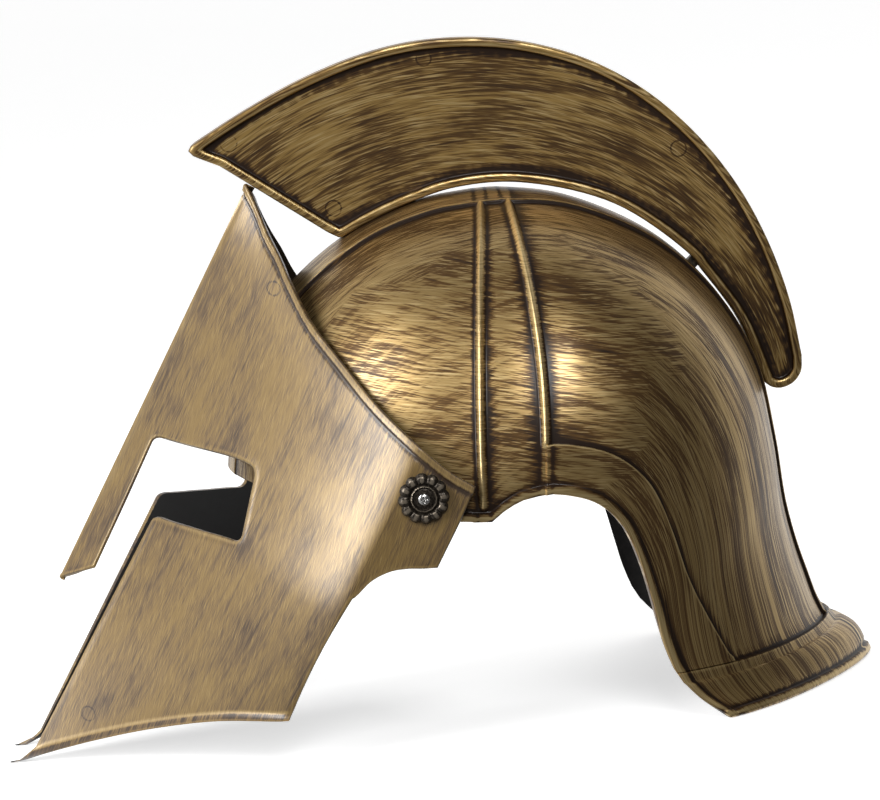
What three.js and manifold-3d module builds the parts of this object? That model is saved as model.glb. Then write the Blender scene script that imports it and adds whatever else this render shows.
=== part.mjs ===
// Greek hoplite costume helmet: a skull bowl with a neck guard, a plate crest on its midline,
// and a face plate that pivots on two rosette screws at the temples.
// Millimetres. The front faces -Y, +X is the wearer's left, +Z is up.
// The origin is on the floor under the middle of the helmet.
import * as THREE from 'three';
import { mergeVertices } from 'three/addons/utils/BufferGeometryUtils.js';
import Module from 'manifold-3d';

const wasm = await Module();
wasm.setup();

// ---------------------------------------------------------------- driving dimensions
const CENTRE_SHIFT = 13.6;          // moves the whole helmet so that the origin is under its middle
const GAP = 0.3;                    // clearance between touching pieces
const SKULL_WALL = 2.2;
const VISOR_WALL = 2.0;

const DOME_Y = 22.7;                // centre of the dome's midline circle
const DOME_Z = 104.3;
const DOME_R = 120.9;

const BAND_HEIGHT = 1.2;            // raised band along the midline, under the crest
const RIB_HEIGHT = 2.2;             // two raised ribs from the band down to the ear
const RIB_HALF = 1.3;
const STEP = 0.6;                   // run of every relief step
const BORDER_HEIGHT = 2.5;          // raised border around the ear and the neck
const BEAD_WIDTH = 3.4;             // rolled edge
const BEAD_HEIGHT = 1.0;

const PEAK = { y: -72.8, z: 240.1 };      // top end of the visor's ridge
const NOSE = { y: -176.1, z: 76.5 };      // bottom end of the nose guard
const VISOR_DEPTH = 108;                  // from the ridge back to where the sides run straight
const VISOR_POINT = 1.25;                 // how pointed the plan of the visor is
const NOSE_LENGTH = 193.5;
const PIVOT = { y: -14.5, z: 112.6 };

const CREST_HALF = 6.0;
const CREST_RIM = 3.8;
const CREST_RECESS = 2.0;
const CREST_WEB = 2.0;
const CREST_SEAM = 0.15;

const ROSETTE_R = 10.6;
const ROSETTE_PETALS = 12;
const ROSETTE_THICK = 3.2;
const SHANK_R = 1.6;
const SCREW_HEAD_R = 2.5;
const NUT_R = 4.0;
const NUT_FACE = 91;                // x of the nut, just inside the skull

// ---------------------------------------------------------------- finishes
const finish = (color, roughness, metalness) =>
  new THREE.MeshStandardMaterial({ color, roughness, metalness });
const antiqueGold = () => finish(0x9a7b3c, 0.38, 0.75);
const darkPewter = () => finish(0x4a4238, 0.42, 0.7);
const steel = () => finish(0xb9b9b4, 0.3, 0.95);
const blackPlastic = () => finish(0x1c1917, 0.6, 0.0);

// ---------------------------------------------------------------- small helpers
const lerp = THREE.MathUtils.lerp;
const clamp = THREE.MathUtils.clamp;

/** Value of a smooth curve through knots [[at, value], ...], flat beyond both ends. */
function through(knots, at) {
  const last = knots.length - 1;
  if (at <= knots[0][0]) return knots[0][1];
  if (at >= knots[last][0]) return knots[last][1];
  let k = 0;
  while (at > knots[k + 1][0]) k += 1;
  const slope = (i) => {
    const a = knots[Math.max(i - 1, 0)];
    const b = knots[Math.min(i + 1, last)];
    return (b[1] - a[1]) / (b[0] - a[0]);
  };
  const [x0, y0] = knots[k];
  const [x1, y1] = knots[k + 1];
  const w = x1 - x0;
  const s = (at - x0) / w;
  const h = s * s * (3 - 2 * s);
  return y0 * (1 - h) + y1 * h + w * (slope(k) * s * (1 - s) ** 2 - slope(k + 1) * s * s * (1 - s));
}

/**
 * Closed shell between an outer and an inner net of points. Both nets are [row][column].
 * has(i, j) says whether the cell between rows i, i+1 and columns j, j+1 is there;
 * a wall closes each side where the next cell is missing. wrap joins the last column to the first.
 */
function shell(outer, inner, has = () => true, wrap = false) {
  const rows = outer.length;
  const cols = outer[0].length;
  const cellCols = wrap ? cols : cols - 1;
  const positions = [...outer.flat(), ...inner.flat()].flatMap((p) => [p.x, p.y, p.z]);
  const index = [];
  const at = (side, i, j) => side * rows * cols + i * cols + (j % cols);
  const inside = (i, j) => {
    const jj = wrap ? (j + cellCols) % cellCols : j;
    return i >= 0 && i < rows - 1 && jj >= 0 && jj < cellCols && has(i, jj);
  };
  const quad = (a, b, c, d) => index.push(a, b, c, a, c, d);
  const wall = (a, b) => quad(a, b, b + rows * cols, a + rows * cols);
  for (let i = 0; i < rows - 1; i += 1) {
    for (let j = 0; j < cellCols; j += 1) {
      if (!inside(i, j)) continue;
      const o = [at(0, i, j), at(0, i, j + 1), at(0, i + 1, j + 1), at(0, i + 1, j)];
      const n = o.map((v) => v + rows * cols);
      if (j < cellCols / 2) {
        quad(o[0], o[3], o[2], o[1]);
        quad(n[0], n[1], n[2], n[3]);
      } else {
        quad(o[1], o[0], o[3], o[2]);
        quad(n[1], n[2], n[3], n[0]);
      }
      if (!inside(i - 1, j)) wall(o[0], o[1]);
      if (!inside(i, j + 1)) wall(o[1], o[2]);
      if (!inside(i + 1, j)) wall(o[2], o[3]);
      if (!inside(i, j - 1)) wall(o[3], o[0]);
    }
  }
  const geometry = new THREE.BufferGeometry();
  geometry.setAttribute('position', new THREE.Float32BufferAttribute(positions, 3));
  geometry.setIndex(index);
  return geometry;
}

/** The same geometry as a solid that can be cut and joined. */
function solid(geometry) {
  const bare = new THREE.BufferGeometry();
  bare.setAttribute('position', geometry.getAttribute('position').clone());
  if (geometry.index) bare.setIndex(geometry.index.clone());
  const merged = mergeVertices(bare, 1e-4);
  const mesh = new wasm.Mesh({
    numProp: 3,
    vertProperties: new Float32Array(merged.attributes.position.array),
    triVerts: new Uint32Array(merged.index.array),
  });
  return new wasm.Manifold(mesh);
}

/** A solid back as a geometry. */
function surface(manifold) {
  const mesh = manifold.getMesh();
  const geometry = new THREE.BufferGeometry();
  geometry.setAttribute('position', new THREE.BufferAttribute(mesh.vertProperties, 3));
  geometry.setIndex(new THREE.BufferAttribute(mesh.triVerts, 1));
  return geometry;
}

/** A round bar of radius r along X from x0 to x1 at the pivot. */
function pivotBar(r, x0, x1) {
  const bar = new THREE.CylinderGeometry(r, r, x1 - x0, 16);
  bar.rotateZ(Math.PI / 2);
  bar.translate((x0 + x1) / 2, PIVOT.y, PIVOT.z);
  return bar;
}

const group = new THREE.Group();
group.position.set(0, CENTRE_SHIFT, 0);

/** Adds one named piece to the helmet. */
function add(name, geometry, material) {
  const mesh = new THREE.Mesh(geometry, material);
  mesh.name = name;
  group.add(mesh);
}

// ---------------------------------------------------------------- skull: surface
/** A point [y, z] around the dome's centre; 180 degrees is the front, 0 the back. */
function domePoint(degrees, r = DOME_R) {
  const a = THREE.MathUtils.degToRad(degrees);
  return [DOME_Y + r * Math.cos(a), DOME_Z + r * Math.sin(a)];
}

// Each row is a quarter oval from the midline out to the side edge. middle is [y, z] on the
// midline, edge is [x, y, z] on the edge, bow bends the row backwards as seen from the side, and
// round is the oval's power: 2 is an ellipse, less is more pointed.
const SKULL_ROWS = [
  { name: 'brow', middle: [-95, 116.5], edge: [95.5, -12, 101], bow: 0, round: 1.69 },
  { name: 'forehead', middle: domePoint(155), edge: [97, -9, 100.6], bow: 0, round: 1.69 },
  { name: 'forehead top', middle: domePoint(135), edge: [98.5, -6, 100.2], bow: 0, round: 1.71 },
  { name: 'front', middle: domePoint(115), edge: [99.8, -2.5, 99.8], bow: -0.5, round: 1.74 },
  { name: 'front crown', middle: domePoint(100), edge: [101.2, 2, 99.4], bow: -1.5, round: 1.8 },
  { name: 'first rib', middle: domePoint(88), edge: [102, 9.5, 99], bow: -2.8, round: 1.9 },
  { name: 'second rib', middle: domePoint(83), edge: [103, 35.5, 107], bow: 4, round: 1.93 },
  { name: 'crown', middle: domePoint(70), edge: [103, 47, 105.3], bow: 3, round: 2 },
  { name: 'back crown', middle: domePoint(50), edge: [102, 57, 100.5], bow: 1.5, round: 2 },
  { name: 'back', middle: domePoint(32), edge: [99, 66, 89.5], bow: 0.5, round: 2 },
  { name: 'back low', middle: domePoint(16), edge: [95, 72, 72], bow: 0, round: 2 },
  { name: 'nape', middle: domePoint(0), edge: [91, 75.3, 56], bow: 0, round: 2 },
  { name: 'nape low', middle: [145.9, 72], edge: [88, 77.3, 44], bow: 0, round: 1.9 },
  { name: 'neck', middle: [151.6, 44.5], edge: [86.5, 79.5, 33], bow: 0, round: 1.76 },
  { name: 'ledge', middle: [160, 20.6], edge: [86, 83.5, 21.5], bow: 0, round: 1.6 },
  { name: 'flare', middle: [172.8, 12.6], edge: [86.8, 91.5, 10.5], bow: 0, round: 1.42 },
  { name: 'rim', middle: [177.8, 0], edge: [87.4, 104, 0], bow: 0, round: 1.3 },
];
const RIB_1 = 5;
const RIB_2 = 6;
const LEDGE = 14;
const RIM = 16;

const middleCurve = new THREE.CatmullRomCurve3(
  SKULL_ROWS.map(({ middle }) => new THREE.Vector3(0, ...middle)), false, 'centripetal');
const edgeCurve = new THREE.CatmullRomCurve3(
  SKULL_ROWS.map(({ edge }) => new THREE.Vector3(...edge)), false, 'centripetal');
const bowKnots = SKULL_ROWS.map(({ bow }, i) => [i, bow]);
const roundKnots = SKULL_ROWS.map(({ round }, i) => [i, round]);

/** The plain skull surface at a row and at an angle from 0 on the midline to 90 degrees on the edge. */
function skullBase(row, angle) {
  const r = clamp(row, 0, RIM);
  const m = middleCurve.getPoint(r / RIM);
  const e = edgeCurve.getPoint(r / RIM);
  const power = 2 / through(roundKnots, r);
  const c = Math.max(Math.cos(angle), 0) ** power;
  const s = Math.sin(angle) ** power;
  const bend = through(bowKnots, r) * 4 * c * (1 - c);
  return new THREE.Vector3(e.x * s, lerp(e.y, m.y, c) + bend, lerp(e.z, m.z, c));
}

/** Distance from the midline point to the edge point of a row, seen from the side. */
function rowLength(row) {
  const m = middleCurve.getPoint(row / RIM);
  const e = edgeCurve.getPoint(row / RIM);
  return Math.hypot(m.y - e.y, m.z - e.z);
}

/** Unit vectors of the skull surface: along (towards the rim), across (towards the edge), out. */
function skullFrame(row, angle) {
  const dr = row > RIM - 0.02 ? -0.01 : 0.01;
  const da = angle > Math.PI / 2 - 0.02 ? -0.01 : 0.01;
  const here = skullBase(row, angle);
  const along = skullBase(row + dr, angle).sub(here).divideScalar(dr).normalize();
  const across = skullBase(row, angle + da).sub(here).divideScalar(da).normalize();
  const out = new THREE.Vector3().crossVectors(across, along).normalize();
  return { here, along, across, out };
}

const bandHalf = (row) => through([[0, 19], [4, 21], [6, 23], [9, 13], [13, 9], [16, 9]], row);
const borderWidth = (row) => through([[0, 20], [8, 21], [9, 21], [11, 19], [12, 20], [14, 25.5]], row);

// Lines along the skull: row plus a shift in millimetres towards the rim.
const SKULL_LINES = [
  { row: 0, brow: 1 }, { row: 0.2, brow: 1 }, { row: 0.27 },
  ...[0.6, 1, 1.5, 2, 2.5, 3, 3.5, 4.1].map((row) => ({ row })),
  { row: RIB_1, shift: -RIB_HALF - STEP }, { row: RIB_1, shift: -RIB_HALF, rib: 1 },
  { row: RIB_1, shift: RIB_HALF, rib: 1 }, { row: RIB_1, shift: RIB_HALF + STEP },
  { row: RIB_2, shift: -RIB_HALF - STEP }, { row: RIB_2, shift: -RIB_HALF, rib: 1, back: 1 },
  { row: RIB_2, shift: RIB_HALF, rib: 1, back: 1 }, { row: RIB_2, shift: RIB_HALF + STEP, back: 1 },
  ...[6.5, 7, 7.5, 8, 8.5, 9, 9.5, 10, 10.5, 11, 11.5, 12, 12.6, 13.2].map((row) => ({ row, back: 1 })),
  { row: LEDGE, shift: -STEP, back: 1 }, { row: LEDGE, neck: 1 },
  { row: LEDGE, shift: 4, neck: 0.84 }, { row: LEDGE + 0.7, neck: 0.5 }, { row: LEDGE + 1.2, neck: 0.4 },
  { row: RIM, shift: -BEAD_WIDTH - STEP, neck: 0.4 }, { row: RIM, shift: -BEAD_WIDTH, neck: 0.4, rim: 1 },
  { row: RIM, neck: 0.4, rim: 1 },
];

/** Angles of the lines across the skull on one row, with what is raised on each of them. */
function acrossLines(row) {
  const e = edgeCurve.getPoint(row / RIM);
  const length = rowLength(row);
  const half = Math.PI / 2;
  const power = through(roundKnots, row) / 2;
  const fromMiddle = (x) => Math.asin((x / e.x) ** power);
  const fromEdge = (distance) => Math.acos((distance / length) ** power);
  const band = fromMiddle(bandHalf(row));
  const bandFoot = fromMiddle(bandHalf(row) + STEP);
  const border = fromEdge(borderWidth(row));
  const borderTop = fromEdge(borderWidth(row) - STEP);
  const bead = fromEdge(BEAD_WIDTH);
  const beadFoot = fromEdge(BEAD_WIDTH + STEP);
  const between = (a, b, n) => Array.from({ length: n }, (_, k) => lerp(a, b, (k + 1) / (n + 1)));
  return [
    { angle: 0, band: 1 }, { angle: band / 2, band: 1 }, { angle: band, band: 1 },
    ...[bandFoot, ...between(bandFoot, border, 6), border].map((angle) => ({ angle, field: 1 })),
    { angle: borderTop, border: 1 }, { angle: lerp(borderTop, beadFoot, 0.5), border: 0.8 },
    { angle: beadFoot, border: 0.6 }, { angle: bead, border: 0.6, bead: 1 },
    { angle: half, border: 0.6, bead: 1 },
  ];
}

/** How far the relief stands proud where a line along crosses a line across. */
function skullRelief(line, cross) {
  const rib = line.rib && (cross.field || cross.border) ? RIB_HEIGHT : 0;
  const lastRib = line.row === RIB_1 && cross.border ? 0 : rib;
  const border = line.back && cross.border ? BORDER_HEIGHT * cross.border : 0;
  const lip = line.neck ? BORDER_HEIGHT * line.neck * (cross.border ?? 1) : 0;
  const band = cross.band && !line.neck ? BAND_HEIGHT : 0;
  const brow = line.brow ? BEAD_HEIGHT : 0;
  const bead = cross.bead || line.rim ? BEAD_HEIGHT : 0;
  return Math.max(lastRib, border, band, brow, lip) + bead;
}

/** Moves a point of the rim along the surface until it lies on the floor. */
function ontoFloor(point, along) {
  return point.addScaledVector(along, -point.z / along.z);
}

function skullSide(line, cross) {
  const { along, across, out, here } = skullFrame(line.row, cross.angle);
  const base = here.clone().addScaledVector(along, line.shift ?? 0);
  const outer = base.clone().addScaledVector(out, skullRelief(line, cross));
  const inner = base.clone().addScaledVector(out, -SKULL_WALL);
  if (line.row === RIM && !line.shift) {
    ontoFloor(outer, along);
    ontoFloor(inner, along);
  }
  if (cross.angle === 0) {
    outer.x = 0;
    inner.x = 0;
  }
  inner.z = Math.max(inner.z, 0);
  return { outer, inner, across };
}

/** A half row made whole: the wearer's right side first, then the left. */
function mirrored(half) {
  const right = half.slice(1).reverse().map((p) => new THREE.Vector3(-p.x, p.y, p.z));
  return [...right, ...half];
}

function skullGeometry() {
  const outer = [];
  const inner = [];
  for (const line of SKULL_LINES) {
    const points = acrossLines(line.row).map((cross) => skullSide(line, cross));
    outer.push(mirrored(points.map((p) => p.outer)));
    inner.push(mirrored(points.map((p) => p.inner)));
  }
  return shell(outer.reverse(), inner.reverse());
}

// ---------------------------------------------------------------- visor: surface
// The visor is laid out on its side view: t runs down the ridge from the peak, n runs back from
// the ridge. The half width grows from the ridge to the straight sides.
const RIDGE = new THREE.Vector2(NOSE.y - PEAK.y, NOSE.z - PEAK.z).normalize();
const BACK = new THREE.Vector2(-RIDGE.y, RIDGE.x);

const visorWidthKnots = [
  [0, 50], [14, 68], [30, 90], [50, 104], [64, 107.2], [76, 107.5], [92, 107.5], [110, 107.2], [140, 103.5],
  [200, 82], [263, 59], [280, 55],
];

/** Half width of the visor's outer surface. */
function visorHalf(t, n) {
  const reach = clamp(n / VISOR_DEPTH, 0, 1);
  return through(visorWidthKnots, t) * (1 - (1 - reach) ** VISOR_POINT);
}

function visorPoint(t, n, x = visorHalf(t, n)) {
  return new THREE.Vector3(x, PEAK.y + RIDGE.x * t + BACK.x * n, PEAK.z + RIDGE.y * t + BACK.y * n);
}

/** Outward unit normal of the visor's surface. */
function visorNormal(t, n) {
  const d = 0.05;
  const dt = visorPoint(t + d, n).sub(visorPoint(t - d, n));
  const dn = visorPoint(t, n + d).sub(visorPoint(t, Math.max(n - d, 0)));
  return new THREE.Vector3().crossVectors(dt, dn).normalize();
}

// Height lines of the visor: t for a given n.
const topLine = [
  [0, 0.4], [8.6, 6.9], [17, 14.4], [25.7, 20.6], [34.5, 27.8], [48, 37.1], [64.7, 44.4], [84.5, 52.2],
  [102, 57.2], [121.8, 62.1], [135, 63.3],
];
const eyeTopLine = [[0, 117], [12.6, 115.2], [42.8, 104.1], [54, 102], [85, 97], [109.5, 93], [135, 80]];
const cheekLine = [
  [0, 146], [24, 144.6], [42, 139], [60, 133], [85, 130], [109.5, 127.5], [113, 118], [118, 111],
  [124, 106.5], [130, 103.5], [135.3, 100.5],
];
const bottomLine = [[22, 263.8], [44.3, 239.5], [64.6, 219.1], [85.6, 200.8], [110, 184.5]];

// Column lines of the visor: n on the top, eye, cheek and bottom lines.
const VISOR_COLUMNS = [
  { name: 'ridge', n: [0, 0, 0, 0] },
  { name: 'ridge side', n: [4, 4, 4.5, 4.5] },
  { name: 'nose guard edge', n: [9.5, 10.4, 11.2, 11.7] },
  { name: 'cheek front', n: [20, 22, 24.4, 22.2] },
  { name: 'under the eye', n: [33, 36, 40, 38] },
  { name: 'eye corner', n: [46, 53, 60.3, 55] },
  { name: 'temple front', n: [60, 67, 73, 69] },
  { name: 'temple', n: [75, 81, 86, 83] },
  { name: 'temple back', n: [90, 95, 98, 97] },
  { name: 'cheek back', n: [104, 108, 109.5, 110], hollow: 1.4 },
  { name: 'lobe front', n: [113, 116, 116, 116] },
  { name: 'lobe', n: [124, 126, 125, 125] },
  { name: 'lobe back', n: [134.7, 135.3, 135.3, 135.3] },
];
const NOSE_COLUMN = 2;
const CHEEK_COLUMN = 3;
const EYE_COLUMN = 5;
const CHEEK_BACK_COLUMN = 9;
const VISOR_BEAD = 3.2;
const VISOR_BEAD_HEIGHT = 1.0;
const FLANGE_OUT = 3.5;

// Rows of the visor: the zone between two height lines and how far down it, or a fixed drop in mm.
const VISOR_ROWS = [
  { zone: 0, part: 0, bead: 1 }, { zone: 0, drop: VISOR_BEAD, bead: 1 }, { zone: 0, drop: VISOR_BEAD + STEP },
  ...[0.3, 0.5, 0.75].map((part) => ({ zone: 0, part })),
  ...[0, 0.33, 0.67].map((part) => ({ zone: 1, part })),
  ...[0, 0.15, 0.32, 0.5, 0.67, 0.84].map((part) => ({ zone: 2, part })),
  { zone: 2, part: 1 }, { zone: 3, part: 1 },
];
const EYE_TOP_ROW = VISOR_ROWS.findIndex(({ zone }) => zone === 1);
const CHEEK_ROW = VISOR_ROWS.findIndex(({ zone }) => zone === 2);
const CREASE_ROW = VISOR_ROWS.length - 2;

/** Where a visor row crosses a visor column: t, n, and the flange's shift outwards. */
function visorPlace(row, column) {
  const n = VISOR_COLUMNS[column].n;
  const below = column <= NOSE_COLUMN
    ? (at) => NOSE_LENGTH - 1.14 * at
    : (at) => through(bottomLine, at);
  const lines = [
    (at) => through(topLine, at), (at) => through(eyeTopLine, at), (at) => through(cheekLine, at), below,
  ];
  if (row.zone < 3) {
    const start = lines[row.zone](n[row.zone]);
    const end = lines[row.zone + 1](n[row.zone + 1]);
    const part = row.part ?? row.drop / (end - start);
    const hollow = row.zone === 2 ? (VISOR_COLUMNS[column].hollow ?? 0) * 4 * part * (1 - part) : 0;
    return { t: lerp(start, end, part), n: lerp(n[row.zone], n[row.zone + 1], part) - hollow, out: 0 };
  }
  const front = clamp((110 - n[3]) / 88, 0, 1) ** 5;
  const t = below(n[3]) + lerp(4.3, 11.5, front);
  return { t, n: n[3] - 7.5 * front, out: lerp(FLANGE_OUT, 6.5, front) };
}

function visorSide(row, column) {
  const { t, n, out } = visorPlace(row, column);
  const normal = visorNormal(t, n);
  const base = visorPoint(t, n);
  base.x += out;
  const inner = base.clone();
  if (column === 0) {
    normal.x = 0;
    const lean = visorNormal(t, 0.5);
    const share = Math.hypot(lean.y, lean.z);
    normal.normalize();
    inner.addScaledVector(normal, -VISOR_WALL / share);
  } else if (column === NOSE_COLUMN) {
    inner.x -= VISOR_WALL / normal.x;
  } else {
    inner.addScaledVector(normal, -VISOR_WALL);
  }
  const outer = base.addScaledVector(normal, row.bead && column > 0 ? VISOR_BEAD_HEIGHT : 0);
  outer.z = Math.max(outer.z, 0);
  inner.z = Math.max(inner.z, 0);
  return { outer, inner };
}

/** Whether the visor has material in a cell; the eye, the mouth slot and the corners are open. */
function visorHas(i, column) {
  const lobe = column >= CHEEK_BACK_COLUMN;
  const eye = i >= EYE_TOP_ROW && i < CHEEK_ROW && column >= NOSE_COLUMN && column < EYE_COLUMN;
  const mouth = i >= CHEEK_ROW && column >= NOSE_COLUMN && column < CHEEK_COLUMN;
  const underLobe = i >= CHEEK_ROW && lobe;
  const underNose = i >= CREASE_ROW && column < CHEEK_COLUMN;
  return !(eye || mouth || underLobe || underNose);
}

function visorGeometry() {
  const outer = [];
  const inner = [];
  for (const row of VISOR_ROWS) {
    const points = VISOR_COLUMNS.map((_, column) => visorSide(row, column));
    outer.push(mirrored(points.map((p) => p.outer)));
    inner.push(mirrored(points.map((p) => p.inner)));
  }
  const last = VISOR_COLUMNS.length - 1;
  const has = (i, j) => visorHas(i, j >= last ? j - last : last - 1 - j);
  return shell(outer, inner, has);
}

// ---------------------------------------------------------------- crest
const CREST_TIP = [-99.4, 257];           // front corner, before it is rounded
const CREST_BEND = [-83.4, 248.9];        // slight bend of the front edge below the tip
const CREST_TIP_ROUND = 7;                // how far back from a corner its rounding starts
const CREST_CORNER_ROUND = 3;
const CREST_INNER_ROUND = 1.5;
// The crest's foot around the dome's centre, from the tail to the sharp corner: degrees, radius.
const CREST_FOOT = [
  [10.5, 122.5], [25, 122.9], [38, 123.4], [41, 124.4], [60, 125.4], [80, 124.8], [93, 124], [104, 123.1],
  [113, 122.7], [118.7, 122.9],
];
const CREST_TOP = [
  [-70, 271.6], [-43.7, 282.4], [-15.9, 290.1], [8, 292.9], [35, 291.3], [60, 285.3], [84, 274.6],
  [105, 259.5], [124, 239], [139.5, 215], [150.5, 189], [157.5, 162], [160.4, 137],
];
const CREST_TAIL = [[160.4, 137], [159.4, 130], [155.5, 125.4], [150, 123.6], [146, 124.4], [143.1, 126.6]];

/** Points [y, z] of a smooth curve through the given ones. */
function smooth(points, steps) {
  const curve = new THREE.CatmullRomCurve3(
    points.map(([y, z]) => new THREE.Vector3(y, z, 0)), false, 'centripetal');
  return curve.getPoints(steps).map((p) => new THREE.Vector2(p.x, p.y));
}

/** Rounds one corner of an outline with five points in place of it. */
function rounded(corner, before, after, setback) {
  const a = before.clone().sub(corner).setLength(setback);
  const b = after.clone().sub(corner).setLength(setback);
  return [0, 0.25, 0.5, 0.75, 1].map((s) =>
    corner.clone().addScaledVector(a, (1 - s) ** 2).addScaledVector(b, s ** 2));
}

/** Outline of the crest seen from the side, moved in by inset, with its two sharp corners rounded. */
function crestShape(inset, tipRound, cornerRound) {
  const foot = CREST_FOOT.map(([degrees, r]) => domePoint(degrees, r));
  const outline = [
    ...smooth([CREST_TIP, ...CREST_TOP], 36), ...smooth(CREST_TAIL, 8).slice(1, -1),
    ...smooth(foot, 2 * (foot.length - 1)), new THREE.Vector2(...CREST_BEND),
  ];
  const count = outline.length;
  const moved = outline.map((p, i) => {
    const ahead = outline[(i + 1) % count].clone().sub(p).normalize();
    const behind = p.clone().sub(outline[(i + count - 1) % count]).normalize();
    const along = ahead.clone().add(behind).normalize();
    const miter = inset / along.dot(ahead);
    return new THREE.Vector2(p.x + along.y * miter, p.y - along.x * miter);
  });
  return new THREE.Shape([
    ...rounded(moved[0], moved[count - 1], moved[1], tipRound), ...moved.slice(1, -2),
    ...rounded(moved[count - 2], moved[count - 3], moved[count - 1], cornerRound), moved[count - 1],
  ]);
}

/** A shape seen from the side as a slab between two x values. */
function crestSlab(shape, x0, x1) {
  const slab = new THREE.ExtrudeGeometry(shape, { depth: x1 - x0, bevelEnabled: false });
  slab.rotateX(Math.PI / 2);
  slab.rotateZ(Math.PI / 2);
  slab.translate(x0, 0, 0);
  return solid(slab);
}

/** The left half of the crest: a tray with a raised rim, open towards the seam. */
function crestHalf() {
  const outside = crestShape(0, CREST_TIP_ROUND, CREST_CORNER_ROUND);
  const inside = crestShape(CREST_RIM, CREST_INNER_ROUND, CREST_INNER_ROUND);
  const body = crestSlab(outside, CREST_SEAM, CREST_HALF);
  const recess = crestSlab(inside, CREST_HALF - CREST_RECESS, CREST_HALF + 1);
  const hollow = crestSlab(inside, CREST_SEAM - 1, CREST_HALF - CREST_RECESS - CREST_WEB);
  return body.subtract(recess).subtract(hollow);
}

// ---------------------------------------------------------------- crest pegs
// Plain pegs that hold the crest: each runs from the crest's hollow through the skull's band.
// angle is the place on the dome's midline circle, width is measured along the crest's foot.
const CREST_PEGS = [
  { name: 'crest_peg_front', angle: 112, width: 8 },
  { name: 'crest_peg_middle', angle: 103, width: 8 },
  { name: 'crest_peg_rear', angle: 40, width: 5 },
];
const PEG_HALF_THICK = 2.4;
const PEG_INSIDE = 3;
const PEG_INTO_CREST = 7;
const PEG_HEAD = { length: 9, thick: 2 };

/** A block that stands on the dome's midline, from one radius to another. */
function radialBlock(angle, halfX, width, r0, r1) {
  const block = new THREE.BoxGeometry(2 * halfX, width, r1 - r0);
  block.translate(0, 0, (r0 + r1) / 2);
  block.rotateX(THREE.MathUtils.degToRad(angle - 90));
  block.translate(0, DOME_Y, DOME_Z);
  return solid(block);
}

function crestPeg({ angle, width }, clearance) {
  const inside = DOME_R - SKULL_WALL - PEG_INSIDE;
  const outside = DOME_R + PEG_INTO_CREST;
  const half = PEG_HALF_THICK + clearance;
  return radialBlock(angle, half, width + 2 * clearance, inside - clearance, outside + clearance);
}

function pegWithHead(peg) {
  const top = DOME_R - SKULL_WALL - 1;
  const head = radialBlock(
    peg.angle, PEG_HEAD.length / 2, peg.width + 4, top - PEG_HEAD.thick, top);
  return crestPeg(peg, 0).add(head);
}

// ---------------------------------------------------------------- rosettes and pivot screws
const ROSETTE_FOOT = 107.8;         // x of the rosette's flat back, just clear of the visor's side

/** Petalled disc around the pivot: its face and its flat back as two nets around the screw. */
function rosetteGeometry() {
  const around = ROSETTE_PETALS * 4;
  const rings = [
    { r: SHANK_R + GAP, rise: 1.6, petal: 0 }, { r: 4.2, rise: 1.6, petal: 0 },
    { r: 5.2, rise: 2.5, petal: 0 }, { r: 8.2, rise: ROSETTE_THICK - 0.5, petal: 0.5 },
    { r: ROSETTE_R, rise: 1.2, petal: 0.9 },
  ];
  const face = [];
  const back = [];
  for (const { r, rise, petal } of rings) {
    const faceRow = [];
    const backRow = [];
    for (let k = 0; k < around; k += 1) {
      const a = (k / around) * 2 * Math.PI;
      const lobe = Math.abs(Math.cos((a * ROSETTE_PETALS) / 2));
      const reach = r - petal * (1 - lobe);
      const y = PIVOT.y + reach * Math.cos(a);
      const z = PIVOT.z + reach * Math.sin(a);
      faceRow.push(new THREE.Vector3(ROSETTE_FOOT + rise - petal * 0.6 * (1 - lobe), y, z));
      backRow.push(new THREE.Vector3(ROSETTE_FOOT, y, z));
    }
    face.push(faceRow);
    back.push(backRow);
  }
  return shell(face, back, () => true, true);
}

/** Pivot screw: a domed head outside, a shank through all the walls and a nut inside the skull. */
function screwGeometry() {
  const headAt = ROSETTE_FOOT + 1.6 + GAP;
  const profile = [
    [0, headAt + 1.5], [1.4, headAt + 1.3], [SCREW_HEAD_R, headAt + 0.5], [SCREW_HEAD_R, headAt],
    [SHANK_R, headAt], [SHANK_R, NUT_FACE], [NUT_R, NUT_FACE], [NUT_R, NUT_FACE - 2.5], [0, NUT_FACE - 2.5],
  ];
  const turned = new THREE.LatheGeometry(profile.map(([r, x]) => new THREE.Vector2(r, x)).reverse(), 16);
  turned.rotateZ(-Math.PI / 2);
  turned.translate(0, PIVOT.y, PIVOT.z);
  return turned;
}


// ---------------------------------------------------------------- assembly
const shankHole = solid(pivotBar(SHANK_R + GAP, -150, 150));

/** The mirror image of a left-hand solid on the wearer's right. */
const mirror = (manifold) => manifold.mirror([1, 0, 0]);

let skull = solid(skullGeometry()).subtract(shankHole);
let crest = crestHalf();
for (const peg of CREST_PEGS) {
  const slot = crestPeg(peg, GAP);
  skull = skull.subtract(slot);
  crest = crest.subtract(slot);
}
const visor = solid(visorGeometry()).subtract(shankHole);
const rosette = solid(rosetteGeometry());
const screw = solid(screwGeometry());

add('skull', surface(skull), antiqueGold());
add('visor', surface(visor), antiqueGold());
add('crest_left', surface(crest), antiqueGold());
add('crest_right', surface(mirror(crest)), antiqueGold());
for (const peg of CREST_PEGS) add(peg.name, surface(pegWithHead(peg)), blackPlastic());
add('rosette_left', surface(rosette), darkPewter());
add('rosette_right', surface(mirror(rosette)), darkPewter());
add('pivot_screw_left', surface(screw), steel());
add('pivot_screw_right', surface(mirror(screw)), steel());

export default group;
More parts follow.
